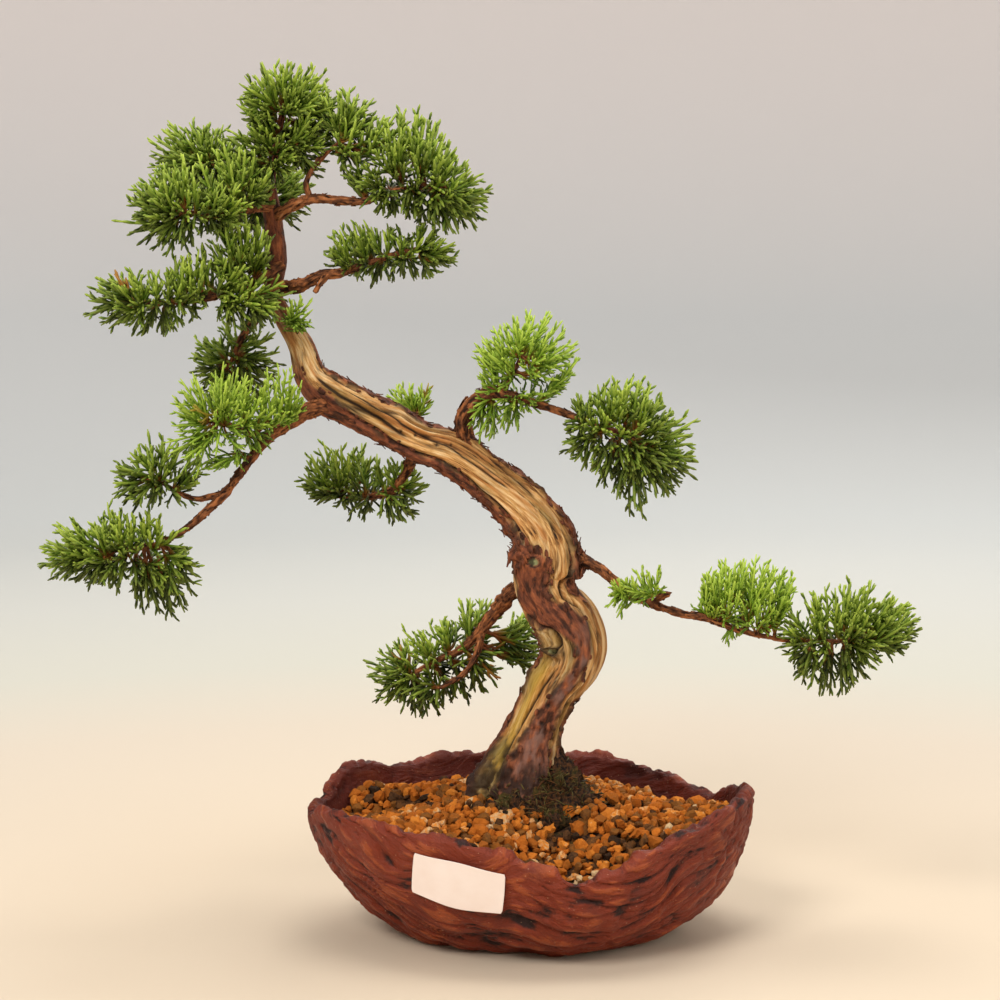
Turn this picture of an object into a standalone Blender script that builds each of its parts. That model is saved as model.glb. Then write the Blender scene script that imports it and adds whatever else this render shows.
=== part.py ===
"""A trained juniper bonsai in a hand-carved stoneware bowl.

Frame: metres, +Z up. The origin is the middle of the bowl's flat foot, and the bowl stands on Z = 0.
+X points to the bowl's pointed end, and the viewing side, with the label, faces -Y.
Every length below is in millimetres, and MM turns it into metres where a mesh is made.
"""

import math

import bmesh
import bpy
from mathutils import Matrix, Vector

MM = 0.001
GAP = 0.35  # clearance between pieces that touch
SOIL_GAP = 1.2  # clearance between the bowl's wall and what fills it
ASSEMBLY = "juniper_bonsai"

# ---------------------------------------------------------------- bowl
BOWL_HALF_LENGTH = 93.0
BOWL_HALF_DEPTH = 74.0
FOOT_HALF_LENGTH = 46.0
FOOT_HALF_DEPTH = 31.0
WALL = 5.5
FLOOR = 6.0
LIP_CROWN = 1.3
POINTED_END = 0.22  # how much the pointed end narrows in plan
POINTED_SPREAD = 32.0  # degrees over which it narrows
LEANNESS = 0.29  # how much leaner than a quarter ellipse the wall is at the other end
# rim height by direction in degrees, counter-clockwise from the pointed end; 270 is the viewing side
RIM_HEIGHTS = (
    (0, 59), (12, 57), (28, 51), (38, 53), (50, 57), (70, 61), (90, 57), (110, 61), (130, 59), (150, 62),
    (168, 52), (185, 52), (200, 55), (218, 58), (235, 56), (250, 53), (261, 49), (272, 42), (281, 37),
    (290, 40), (300, 47), (312, 54), (330, 57), (345, 59),
)
BOWL_SIDES = 60
WALL_STEPS = 6
FOLD_DEPTH = 1.0  # the carved folds that run along the hull
FOLD_COUNT = 5.0

# ---------------------------------------------------------------- drainage
DRAIN_X = 24.0
DRAIN_RADIUS = 6.0
GROOVE_WIDTH = 8.0
GROOVE_DEPTH = 2.5
MESH_SIDE = 24.0
MESH_CELLS = 4
MESH_STRAND = 1.6
MESH_THICKNESS = 1.0
CLIP_RADIUS = 0.6
CLIP_LEG = 3.0  # each leg passes through the middle of a mesh opening
CLIP_FOOT = 11.0

# ---------------------------------------------------------------- soil
SOIL_CROWN = 55.3  # height of the soil at the trunk
DRESSING = 4.5  # thickness of the granule layer
EDGE_DROP_BACK = 8.0  # how far the granules lie below the rim, at the back and at the front
EDGE_DROP_FRONT = 1.5
SOIL_RINGS = 5
SOIL_SIDES = 40

# ---------------------------------------------------------------- label
LABEL_WIDTH = 38.0
LABEL_HEIGHT = 21.0
LABEL_THICKNESS = 0.2
LABEL_DIRECTION = 251.0
LABEL_RISE = 0.757  # place up the wall, 0 at the foot and 1 at the rim
LABEL_STEPS = (10, 4)

# ---------------------------------------------------------------- wood: x, y, z, radius
TRUNK = (
    (-5, 1, 40, 11), (-6, 1, 50, 15.5), (-5, 1, 59, 16.5), (-3, 0, 70, 14), (2, 0, 86, 11.4),
    (9, -1, 101, 11),
    (16, -2, 112, 12.3), (18, -2, 121, 12.8), (15, -1, 130, 12.4), (9, 1, 138, 11.2), (5, 2, 147, 11.2),
    (6, 2, 157, 12.8), (4, 2, 167, 11.4), (-4, 2, 178, 9.8), (-17, 1, 189, 8.8), (-32, 0, 200, 8.8),
    (-46, 0, 205, 7.7), (-64, 0, 215, 8), (-80, 0, 224, 7.2), (-90, 1, 232, 6), (-95, 2, 245, 4.8),
    (-101, 2, 255, 3.9), (-106, 2, 266, 3.4), (-104, 2, 280, 3.7), (-106, 3, 298, 3.5), (-107, 3, 312, 2.3),
    (-104, 3, 328, 1.7), (-101, 2, 342, 1.1),
)
ROOTS = (
    ((-2, -2, 62, 9), (12, -5, 56, 7), (24, -8, 45, 4.5), (32, -10, 34, 2.5)),
    ((-10, -2, 62, 8), (-21, -4, 54, 5.5), (-30, -8, 42, 3.5), (-36, -12, 32, 2)),
    ((-6, -6, 60, 8), (-6, -17, 52, 6), (-4, -26, 41, 3.5), (-2, -32, 31, 2)),
    ((-4, 6, 61, 8), (2, 19, 52, 6), (9, 28, 41, 3.5), (14, 35, 31, 2)),
)
STUBS = (  # pruned branch stubs that stand out of the trunk
    ((12, -4, 122, 4.5), (8, -12, 120, 3.6), (5, -15.5, 119, 3.2)),
    ((6, -3, 163, 4), (4, -13, 164, 3.4)),
    ((12, 2, 150, 6), (21, 1, 148, 4.2)),
)
# each branch is its main limb and then the twigs that fork from it
BRANCHES = {
    "branch_right_low": (
        ((13, 1, 159, 3), (21, 0, 156, 2.7), (29, -3, 152, 2.2), (38, -5, 145, 1.9), (49, -8, 139, 1.8),
         (61, -10, 135, 1.7),
         (72, -11, 133, 1.5), (86, -12, 128, 1.2), (106, -13, 124, 0.9), (128, -14, 124, 0.7)),
        ((49, -8, 139, 1.4), (56, -13, 143, 1.2), (53, -17, 144, 0.9)),
    ),
    "branch_back_low": (
        ((0, 6, 147, 4.4), (-9, 14, 139, 3.4), (-16, 18, 130, 2.8), (-22, 21, 122, 2.3), (-29, 24, 115, 1.8),
         (-39, 26, 110, 1.3), (-50, 27, 104, 0.8)),
        ((-20, 20, 124, 1.8), (-23, 17, 113, 1.4), (-29, 14, 105, 1.1), (-38, 14, 100, 0.8)),
    ),
    "branch_right_mid": (
        ((-26, 0, 202, 4), (-28, -4, 213, 3.6), (-24, -7, 220, 3.3), (-17, -9, 225, 2.9), (-9, -11, 224, 2.3),
         (2, -12, 221, 1.8), (14, -12, 217, 1.5), (27, -12, 212, 1.2), (40, -11, 208, 0.9)),
        ((-14, -10, 225, 2), (-8, -12, 232, 1.4), (-4, -13, 240, 0.8)),
    ),
    "branch_back_mid": (
        ((-47, 3, 203, 3), (-50, 14, 196, 2.4), (-54, 20, 188, 2), (-60, 24, 182, 1.6), (-69, 26, 180, 1.2),
         (-80, 27, 180, 0.8)),
        ((-51, 15, 195, 1.8), (-48, 22, 204, 1.3), (-48, 26, 215, 0.9)),
    ),
    "branch_left_long": (
        ((-80, 0, 221, 4.2), (-89, -8, 219, 3.4), (-98, -12, 213, 2.5), (-108, -16, 206, 2.2),
         (-115, -18, 197, 1.9),
         (-123, -20, 186, 1.8), (-132, -22, 177, 1.6), (-142, -24, 169, 1.3), (-154, -25, 164, 1),
         (-168, -26, 162, 0.7)),
        ((-124, -20, 185, 1.3), (-135, -22, 183, 1.1), (-145, -23, 187, 0.9), (-151, -24, 192, 0.7)),
        ((-108, -16, 206, 1.5), (-117, -20, 211, 1.2), (-127, -23, 215, 0.8)),
    ),
    "branch_crown_hanging": (
        ((-105, 3, 262, 2), (-113, 8, 256, 1.8), (-119, 12, 249, 1.5), (-123, 15, 242, 1.1),
         (-127, 17, 235, 0.8)),
    ),
    "branch_crown_left": (
        ((-103, 0, 277, 2.4), (-109, -8, 272, 2.1), (-118, -14, 268, 1.7), (-128, -18, 264, 1.4),
         (-141, -22, 262, 1.1),
         (-155, -25, 261, 0.8)),
    ),
    "branch_crown_left_high": (
        ((-106, 2, 301, 2), (-112, -6, 300, 1.7), (-120, -12, 298, 1.4), (-129, -16, 297, 1.1),
         (-139, -20, 298, 0.8)),
    ),
    "branch_crown_left_top": (
        ((-106, 3, 306, 1.8), (-113, 6, 310, 1.5), (-121, 9, 315, 1.1), (-130, 11, 320, 0.7)),
    ),
    "branch_crown_right_low": (
        ((-104, 2, 268, 3), (-94, -2, 269, 2.7), (-86, -4, 273, 2.2), (-77, -5, 274, 1.9),
         (-68, -6, 277, 1.4),
         (-57, -7, 281, 1.1), (-46, -8, 284, 0.8)),
        ((-83, -5, 273, 1.4), (-86, -7, 269, 1.1), (-88, -8, 266, 0.9)),
    ),
    "branch_crown_right_high": (
        ((-105, 2, 297, 2.6), (-98, -2, 301, 2.3), (-89, -5, 304, 2), (-77, -8, 303, 1.8),
         (-66, -10, 303, 1.5),
         (-53, -12, 307, 1.1), (-38, -13, 309, 0.8)),
        ((-90, -5, 304, 1.2), (-91, -6, 311, 1.1), (-86, -8, 319, 1), (-78, -9, 326, 0.7)),
    ),
    "branch_crown_rear": (
        ((-104, 4, 288, 2.2), (-108, 18, 295, 1.8), (-113, 32, 303, 1.3), (-118, 43, 309, 0.8)),
    ),
}

# ---------------------------------------------------------------- foliage: x, y, z of a lobe, its half sizes
FOLIAGE = {
    "foliage_apex": ((-100, 1, 341, 18, 17, 17), (-86, -2, 341, 8, 9, 7)),
    "foliage_crown_left_top": ((-136, 16, 321, 18, 17, 14),),
    "foliage_crown_left_high": ((-142, -18, 300, 20, 17, 15), (-124, -22, 298, 10, 12, 11)),
    "foliage_crown_left": ((-129, -16, 272, 17, 15, 10), (-153, -26, 262, 21, 16, 11)),
    "foliage_crown_hanging": ((-125, 20, 238, 17, 15, 16),),
    "foliage_crown_rear": ((-118, 47, 309, 24, 17, 16),),
    "foliage_crown_right_high": (
        (-72, -8, 327, 12, 14, 11), (-54, -12, 317, 22, 23, 18), (-34, -15, 304, 16, 17, 13),
    ),
    "foliage_crown_right_low": ((-66, -6, 283, 16, 15, 10), (-46, -10, 281, 15, 15, 9)),
    "foliage_trunk_tuft": ((-96, -9, 256, 6, 5, 8),),
    "foliage_left_upper": ((-117, -25, 220, 27, 16, 12), (-126, -26, 206, 16, 14, 9)),
    "foliage_left_middle": ((-152, -25, 193, 16, 14, 12),),
    "foliage_left_end": ((-169, -27, 162, 26, 17, 14), (-151, -22, 153, 16, 15, 14)),
    "foliage_back_mid": ((-77, 27, 186, 21, 17, 12), (-58, 26, 182, 14, 14, 13)),
    "foliage_back_mid_top": ((-49, 29, 219, 10, 9, 8),),
    "foliage_right_mid_inner": ((-2, -13, 239, 19, 17, 17), (-9, -9, 222, 14, 15, 11)),
    "foliage_right_mid_outer": ((36, -14, 211, 22, 19, 18), (46, -9, 201, 19, 17, 18)),
    "foliage_back_low": ((-49, 25, 106, 19, 15, 16), (-29, 30, 114, 17, 14, 19)),
    "foliage_back_low_inner": ((-2, 38, 117, 9, 10, 14),),
    "foliage_right_low_tuft": ((42, -17, 144, 12, 8, 6),),
    "foliage_right_low_inner": ((87, -12, 141, 21, 17, 15),),
    "foliage_right_low_end": ((132, -15, 129, 27, 18, 13), (121, -10, 116, 14, 13, 12)),
}
FOLIAGE_VOXEL = 6.5

COLOURS = {  # colour, roughness
    "stoneware": ((0.19, 0.052, 0.026), 0.6),
    "soil": ((0.022, 0.013, 0.008), 0.95),
    "akadama": ((0.42, 0.155, 0.045), 0.9),
    "moss": ((0.035, 0.03, 0.012), 0.95),
    "trunk_wood": ((0.36, 0.19, 0.08), 0.8),
    "branch_bark": ((0.19, 0.062, 0.03), 0.85),
    "foliage": ((0.07, 0.19, 0.02), 0.6),
    "plastic_mesh": ((0.02, 0.02, 0.02), 0.5),
    "aluminium_wire": ((0.5, 0.5, 0.5), 0.35),
    "paper_label": ((0.82, 0.76, 0.72), 0.5),
}
METALS = ("aluminium_wire",)


# ================================================================ scene helpers
def clear_scene():
    """Removes the objects that the file holds, and makes the two collections."""
    for obj in list(bpy.data.objects):
        bpy.data.objects.remove(obj)
    made = []
    for name in (ASSEMBLY, "cutters"):
        collection = bpy.data.collections.new(name)
        bpy.context.scene.collection.children.link(collection)
        made.append(collection)
    return made


def material(name):
    """The Principled material of that name, made once."""
    found = bpy.data.materials.get(name)
    if found:
        return found
    colour, roughness = COLOURS[name]
    made = bpy.data.materials.new(name)
    made.use_nodes = True
    shader = made.node_tree.nodes["Principled BSDF"]
    shader.inputs["Base Color"].default_value = (*colour, 1.0)
    shader.inputs["Roughness"].default_value = roughness
    shader.inputs["Metallic"].default_value = 1.0 if name in METALS else 0.0
    return made


def add_part(name, mesh, slot):
    """A visible object of the assembly."""
    obj = bpy.data.objects.new(name, mesh)
    obj.data.materials.clear()
    obj.data.materials.append(material(slot))
    parts.objects.link(obj)
    return obj


def add_cutter(name, mesh):
    """A helper that cuts or joins, and isn't part of the object."""
    obj = bpy.data.objects.new(name, mesh)
    obj.hide_render = True
    obj.display_type = "WIRE"
    cutters.objects.link(obj)
    return obj


def boolean(obj, other, operation):
    """A live Boolean between two mesh objects."""
    modifier = obj.modifiers.new(f"{operation.lower()}_{other.name}", "BOOLEAN")
    modifier.operation = operation
    modifier.solver = "EXACT"
    modifier.object = other


def mesh_from_rings(name, rings):
    """A closed loft: quads between each ring and the next, and a fan of triangles over each end ring."""
    shape = bmesh.new()
    rows = [[shape.verts.new(Vector(point) * MM) for point in ring] for ring in rings]
    count = len(rows[0])
    for low, high in zip(rows, rows[1:]):
        for i in range(count):
            j = (i + 1) % count
            shape.faces.new((low[i], low[j], high[j], high[i]))
    for row, flipped in ((rows[0], True), (rows[-1], False)):
        middle = shape.verts.new(sum((v.co for v in row), Vector()) / count)
        for i in range(count):
            j = (i + 1) % count
            shape.faces.new((row[j], row[i], middle) if flipped else (row[i], row[j], middle))
    bmesh.ops.recalc_face_normals(shape, faces=shape.faces)
    mesh = bpy.data.meshes.new(name)
    shape.to_mesh(mesh)
    shape.free()
    mesh.shade_smooth()
    mesh.set_sharp_from_angle(angle=math.radians(40))
    return mesh


# ================================================================ curves through stations
def through(stations, spacing):
    """Points about spacing apart on the smooth Catmull-Rom curve through x, y, z, radius stations."""
    knots = [Vector(s) for s in stations]
    knots = [2 * knots[0] - knots[1], *knots, 2 * knots[-1] - knots[-2]]
    points = []
    for before, start, end, after in zip(knots, knots[1:], knots[2:], knots[3:]):
        steps = max(1, round((end.xyz - start.xyz).length / spacing))
        for k in range(steps):
            t = k / steps
            points.append(
                0.5 * (2 * start + (end - before) * t + (2 * before - 5 * start + 4 * end - after) * t * t
                       + (3 * start - before - 3 * end + after) * t ** 3)
            )
    points.append(knots[-2])
    return points


def limb_mesh(name, stations, spacing, extra=0.0, resolution=2):
    """A tapering round limb as a closed mesh, extra millimetres thicker all round."""
    points = through(stations, spacing)
    if extra:
        for end, inner in ((0, 1), (-1, -2)):
            away = (points[end].xyz - points[inner].xyz).normalized() * extra
            points[end] = Vector((*(points[end].xyz + away), points[end].w))
    data = bpy.data.curves.new(name, "CURVE")
    data.dimensions = "3D"
    data.bevel_depth = MM
    data.bevel_resolution = resolution
    data.use_fill_caps = True
    spline = data.splines.new("POLY")
    spline.points.add(len(points) - 1)
    for knot, point in zip(spline.points, points):
        knot.co = (*(point.xyz * MM), 1.0)
        knot.radius = point.w + extra
    curve = bpy.data.objects.new(name, data)
    cutters.objects.link(curve)
    graph = bpy.context.evaluated_depsgraph_get()
    mesh = bpy.data.meshes.new_from_object(curve.evaluated_get(graph))
    bpy.data.objects.remove(curve)
    shape = bmesh.new()
    shape.from_mesh(mesh)
    bmesh.ops.remove_doubles(shape, verts=shape.verts, dist=1e-6)
    bmesh.ops.recalc_face_normals(shape, faces=shape.faces)
    shape.to_mesh(mesh)
    shape.free()
    mesh.name = name
    mesh.shade_smooth()
    mesh.set_sharp_from_angle(angle=math.radians(50))
    return mesh


def add_wood(obj, name, limbs, spacing, extra):
    """Joins further limbs to obj with Boolean unions."""
    for k, stations in enumerate(limbs):
        helper = add_cutter(f"{name}_{k}", limb_mesh(f"{name}_{k}", stations, spacing, extra))
        boolean(obj, helper, "UNION")


# ================================================================ bowl
def rim_height(direction):
    """Height of the rim, from a smooth closed curve through RIM_HEIGHTS."""
    knots = [*RIM_HEIGHTS, (RIM_HEIGHTS[0][0] + 360, RIM_HEIGHTS[0][1])]
    direction %= 360
    for (low, a), (high, b) in zip(knots, knots[1:]):
        if direction <= high:
            t = (direction - low) / (high - low)
            return a + (b - a) * (1 - math.cos(math.pi * t)) / 2
    return knots[-1][1]


def plan_point(direction, half_length, half_depth, inset=0.0):
    """A point of the oval plan, narrowed towards the pointed end."""
    angle = math.radians(direction)
    turned = (direction + 180) % 360 - 180
    narrowing = 1 - POINTED_END * math.exp(-((turned / POINTED_SPREAD) ** 2))
    return (
        (half_length - inset) * math.cos(angle),
        (half_depth - inset) * math.sin(angle) * narrowing,
    )


def fold(x, y, z):
    """The carved folds follow the hull's meridians, which meet at its two ends."""
    meridian = math.atan2(y, 66 - z)
    fade = math.cos(math.pi / 2 * min(1, abs(x) / BOWL_HALF_LENGTH)) * min(1, z / 12)
    return FOLD_DEPTH * fade * math.sin(2 * FOLD_COUNT * meridian + 0.025 * x)


def wall_power(direction):
    """How lean the wall's curve is: a plain quarter ellipse at the pointed end, leaner towards the other."""
    return 1 + LEANNESS * (1 - math.cos(math.radians(direction))) / 2


def outer_point(direction, rise):
    """A point of the outer wall: rise runs from 0 at the foot's edge to 1 at the rim."""
    turn = rise * math.pi / 2
    foot = plan_point(direction, FOOT_HALF_LENGTH, FOOT_HALF_DEPTH)
    rim = plan_point(direction, BOWL_HALF_LENGTH, BOWL_HALF_DEPTH)
    power = wall_power(direction)
    share = math.sin(turn) ** power
    x = foot[0] + (rim[0] - foot[0]) * share
    y = foot[1] + (rim[1] - foot[1]) * share
    z = rim_height(direction) * (1 - max(math.cos(turn), 0.0) ** power)
    outward = 1 + fold(x, y, z) * (1 - rise ** 4) / math.hypot(x, y)
    return x * outward, y * outward, z


def inner_point(direction, rise, clearance=0.0):
    """A point of the inner wall, or of a filling that stays clearance inside it."""
    turn = rise * math.pi / 2
    inset = WALL + clearance
    foot = plan_point(direction, FOOT_HALF_LENGTH, FOOT_HALF_DEPTH, 3.0 + clearance)
    rim = plan_point(direction, BOWL_HALF_LENGTH, BOWL_HALF_DEPTH, inset)
    power = wall_power(direction)
    share = math.sin(turn) ** power
    floor = FLOOR + clearance
    return (
        foot[0] + (rim[0] - foot[0]) * share,
        foot[1] + (rim[1] - foot[1]) * share,
        floor + (rim_height(direction) - floor) * (1 - max(math.cos(turn), 0.0) ** power),
    )


def lip_point(direction, across):
    """The rounded lip: across runs from 0 at the outside to 1 at the inside."""
    outside, inside = outer_point(direction, 1), inner_point(direction, 1)
    x, y, z = (a + (b - a) * across for a, b in zip(outside, inside))
    return x, y, z + LIP_CROWN * math.sin(math.pi * across)


def directions(count):
    """Evenly spaced directions round the bowl, in degrees."""
    return [360 * i / count for i in range(count)]


def box_cutter(name, low, high):
    """A box-shaped helper between two corners in millimetres."""
    size = [b - a for a, b in zip(low, high)]
    middle = [(a + b) / 2 for a, b in zip(low, high)]
    shape = bmesh.new()
    bmesh.ops.create_cube(shape, size=1.0)
    for vertex in shape.verts:
        vertex.co = Vector(m + s * c for m, s, c in zip(middle, size, vertex.co)) * MM
    mesh = bpy.data.meshes.new(name)
    shape.to_mesh(mesh)
    shape.free()
    return add_cutter(name, mesh)


def make_bowl():
    """The bowl, with a flat foot, two drainage holes, and a groove across the foot at each hole."""
    round_bowl = directions(BOWL_SIDES)
    rings = [[outer_point(d, k / WALL_STEPS) for d in round_bowl] for k in range(WALL_STEPS + 1)]
    rings += [[lip_point(d, a) for d in round_bowl] for a in (0.3, 0.7)]
    rings += [[inner_point(d, 1 - k / WALL_STEPS) for d in round_bowl] for k in range(WALL_STEPS + 1)]
    bowl = add_part("pot", mesh_from_rings("pot", rings), "stoneware")
    for side, name in ((-1, "left"), (1, "right")):
        x = side * DRAIN_X
        shape = bmesh.new()
        bmesh.ops.create_cone(
            shape, cap_ends=True, segments=24, radius1=DRAIN_RADIUS * MM, radius2=DRAIN_RADIUS * MM,
            depth=4 * FLOOR * MM,
        )
        bmesh.ops.rotate(shape, verts=shape.verts, matrix=Matrix.Rotation(math.radians(4), 3, "Z"))
        bmesh.ops.translate(shape, verts=shape.verts, vec=Vector((x, 0.3, 0)) * MM)
        mesh = bpy.data.meshes.new(f"drain_hole_{name}")
        shape.to_mesh(mesh)
        shape.free()
        boolean(bowl, add_cutter(f"drain_hole_{name}", mesh), "DIFFERENCE")
        half = GROOVE_WIDTH / 2
        reach = FOOT_HALF_DEPTH + 20
        groove = box_cutter(f"foot_groove_{name}", (x - half, -reach, -5), (x + half, reach, GROOVE_DEPTH))
        boolean(bowl, groove, "DIFFERENCE")


def make_drain_mesh(name, x):
    """A square of plastic mesh on the bowl's floor, over a drainage hole."""
    shape = bmesh.new()
    bmesh.ops.create_grid(shape, x_segments=MESH_CELLS, y_segments=MESH_CELLS, size=MESH_SIDE / 2 * MM)
    bmesh.ops.translate(shape, verts=shape.verts, vec=Vector((x, 0, FLOOR + GAP)) * MM)
    cells = list(shape.faces)
    bmesh.ops.inset_individual(shape, faces=cells, thickness=MESH_STRAND / 2 * MM)
    bmesh.ops.delete(shape, geom=cells, context="FACES")
    mesh = bpy.data.meshes.new(name)
    shape.to_mesh(mesh)
    shape.free()
    obj = add_part(name, mesh, "plastic_mesh")
    wall = obj.modifiers.new("thickness", "SOLIDIFY")
    wall.thickness = MESH_THICKNESS * MM
    wall.offset = 1.0


def make_drain_clip(name, x):
    """A wire staple over the mesh, with its legs through the hole and bent apart in the foot's groove."""
    x += CLIP_LEG
    top = FLOOR + GAP + MESH_THICKNESS + GAP + CLIP_RADIUS
    low = GROOVE_DEPTH / 2
    bend = 1.0
    half = [
        (0, top), (CLIP_LEG - bend, top), (CLIP_LEG, top - bend), (CLIP_LEG, low + bend),
        (CLIP_LEG + bend, low), (CLIP_FOOT, low),
    ]
    route = [(x, -y, z) for y, z in reversed(half)] + [(x, y, z) for y, z in half[1:]]
    data = bpy.data.curves.new(name, "CURVE")
    data.dimensions = "3D"
    data.bevel_depth = CLIP_RADIUS * MM
    data.bevel_resolution = 2
    data.use_fill_caps = True
    spline = data.splines.new("POLY")
    spline.points.add(len(route) - 1)
    for knot, point in zip(spline.points, route):
        knot.co = (*(Vector(point) * MM), 1.0)
    data.materials.append(material("aluminium_wire"))
    parts.objects.link(bpy.data.objects.new(name, data))


# ================================================================ soil, moss and granules
def surface_height(direction, share, crown, drop):
    """The soil rises from drop below the rim, at share 1, to crown at the trunk, at share 0."""
    edge = rim_height(direction) - drop
    eased = (1 + math.cos(math.pi * min(1.0, share))) / 2
    return edge + (crown - edge) * eased


def edge_drop(direction):
    """How far the granules lie below the rim: less at the front, more at the back."""
    front = (1 - math.sin(math.radians(direction))) / 2
    return EDGE_DROP_BACK + (EDGE_DROP_FRONT - EDGE_DROP_BACK) * front


def wall_rise(direction, height):
    """The rise up the inner wall at which it reaches that height."""
    share = (height - FLOOR) / (rim_height(direction) - FLOOR)
    return math.acos(max(0.0, min(1.0, 1 - share)) ** (1 / wall_power(direction))) * 2 / math.pi


def filling_rings(low_drop, low_crown, high_drop, high_crown):
    """The rings of a filling between two soil surfaces, or from the bowl's floor where low_drop is None."""
    round_bowl = directions(SOIL_SIDES)
    tops = {d: surface_height(d, 1, high_crown, high_drop + edge_drop(d)) for d in round_bowl}
    rises = {d: wall_rise(d, tops[d]) for d in round_bowl}
    shares = [k / SOIL_RINGS for k in range(1, SOIL_RINGS + 1)]
    rings = []
    if low_drop is None:
        rings += [[inner_point(d, rises[d] * s, SOIL_GAP) for d in round_bowl] for s in (0, 0.4, 0.7, 0.88)]
    else:
        for share in shares:
            ring = []
            for d in round_bowl:
                edge = inner_point(d, wall_rise(d, tops[d] - (low_drop - high_drop)), SOIL_GAP)
                height = surface_height(d, share, low_crown, low_drop + edge_drop(d))
                ring.append((edge[0] * share, edge[1] * share, height))
            rings.append(ring)
    for share in reversed(shares):
        ring = []
        for d in round_bowl:
            edge = inner_point(d, rises[d], SOIL_GAP)
            height = surface_height(d, share, high_crown, high_drop + edge_drop(d))
            ring.append((edge[0] * share, edge[1] * share, height))
        rings.append(ring)
    return rings


def make_ground(trunk_cutter):
    """The soil, the granules that dress it, and the mossy mound at the foot of the trunk."""
    soil = add_part(
        "soil", mesh_from_rings("soil", filling_rings(None, None, DRESSING + GAP, SOIL_CROWN)), "soil"
    )
    boolean(soil, trunk_cutter, "DIFFERENCE")
    for side, name in ((-1, "left"), (1, "right")):
        x = side * DRAIN_X
        half = MESH_SIDE / 2 + GAP
        top = FLOOR + 3 * GAP + MESH_THICKNESS + 2 * CLIP_RADIUS
        pocket = box_cutter(f"mesh_pocket_{name}", (x - half, -half, 0), (x + half, half, top))
        boolean(soil, pocket, "DIFFERENCE")
    dressing = add_part(
        "akadama_dressing",
        mesh_from_rings(
            "akadama_dressing", filling_rings(DRESSING, SOIL_CROWN + GAP, 0, SOIL_CROWN + DRESSING)
        ),
        "akadama",
    )
    moss = add_part("moss_mound", mound_mesh("moss_mound", 0.0), "moss")
    boolean(moss, trunk_cutter, "DIFFERENCE")
    boolean(dressing, add_cutter("moss_room", mound_mesh("moss_room", GAP)), "DIFFERENCE")
    boolean(dressing, trunk_cutter, "DIFFERENCE")
    boolean(soil, bpy.data.objects["moss_room"], "DIFFERENCE")


def mound_mesh(name, extra):
    """The mound of dark soil and moss round the base of the trunk.

    It is a low dome drawn out along the main root.
    """
    shape = bmesh.new()
    bmesh.ops.create_uvsphere(shape, u_segments=22, v_segments=11, radius=1.0)
    for vertex in shape.verts:
        x, y, z = vertex.co
        stretch = 1 + 0.2 * max(0.0, x)
        vertex.co = Vector((
            1 + x * (30 * stretch + extra),
            -1 + y * (26 + 2 * math.sin(3 * math.atan2(y, x) + 0.4) + extra),
            50 + z * (13.5 + extra),
        )) * MM
    mesh = bpy.data.meshes.new(name)
    shape.to_mesh(mesh)
    shape.free()
    mesh.shade_smooth()
    return mesh


def make_label():
    """The blank paper label, which follows the wall: an open sheet just off it, with Solidify."""
    columns, rows = LABEL_STEPS
    step = 0.5
    centre = Vector(outer_point(LABEL_DIRECTION, LABEL_RISE))
    along = (Vector(outer_point(LABEL_DIRECTION + step, LABEL_RISE)) - centre) / step
    up = (Vector(outer_point(LABEL_DIRECTION, LABEL_RISE + 0.01)) - centre) / 0.01
    level = Vector((along.x, along.y, 0)).normalized()
    steep = (up - level * up.dot(level)).normalized()
    shape = bmesh.new()
    grid = []
    for j in range(rows + 1):
        line = []
        for i in range(columns + 1):
            u = (i / columns - 0.5) * LABEL_WIDTH
            v = (j / rows - 0.5) * LABEL_HEIGHT
            wanted = level * u + steep * v
            # the share of each surface direction that gives this point of the tangent plane
            across = wanted.dot(level) - up.dot(level) * wanted.dot(steep) / up.dot(steep)
            offset = across / along.dot(level)
            direction = LABEL_DIRECTION + offset
            rise = LABEL_RISE + (wanted.dot(steep) - along.dot(steep) * offset) / up.dot(steep)
            point = Vector(outer_point(direction, rise))
            outward = Vector((point.x, point.y, 0)).normalized() * 0.75 + Vector((0, 0, -0.66))
            line.append(shape.verts.new((point + outward * 2.2 * GAP) * MM))
        grid.append(line)
    for low, high in zip(grid, grid[1:]):
        for i in range(columns):
            shape.faces.new((low[i], low[i + 1], high[i + 1], high[i]))
    mesh = bpy.data.meshes.new("label")
    shape.to_mesh(mesh)
    shape.free()
    obj = add_part("label", mesh, "paper_label")
    sheet = obj.modifiers.new("thickness", "SOLIDIFY")
    sheet.thickness = LABEL_THICKNESS * MM
    sheet.offset = 1.0


# ================================================================ tree
def trunk_parts(name, extra):
    """The trunk's mesh and the roots and stubs that join it."""
    mesh = limb_mesh(name, TRUNK, 8.0, extra, resolution=4)
    return mesh, (*ROOTS, *STUBS)


def make_trunk():
    """The trunk with its root flare, and a slightly larger copy that makes room for it in its neighbours."""
    mesh, joined = trunk_parts("trunk", 0.0)
    add_wood(add_part("trunk", mesh, "trunk_wood"), "trunk_joined", joined, 8.0, 0.0)
    mesh, joined = trunk_parts("trunk_room", GAP)
    room = add_cutter("trunk_room", mesh)
    add_wood(room, "trunk_room_joined", joined, 8.0, GAP)
    return room


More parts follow.
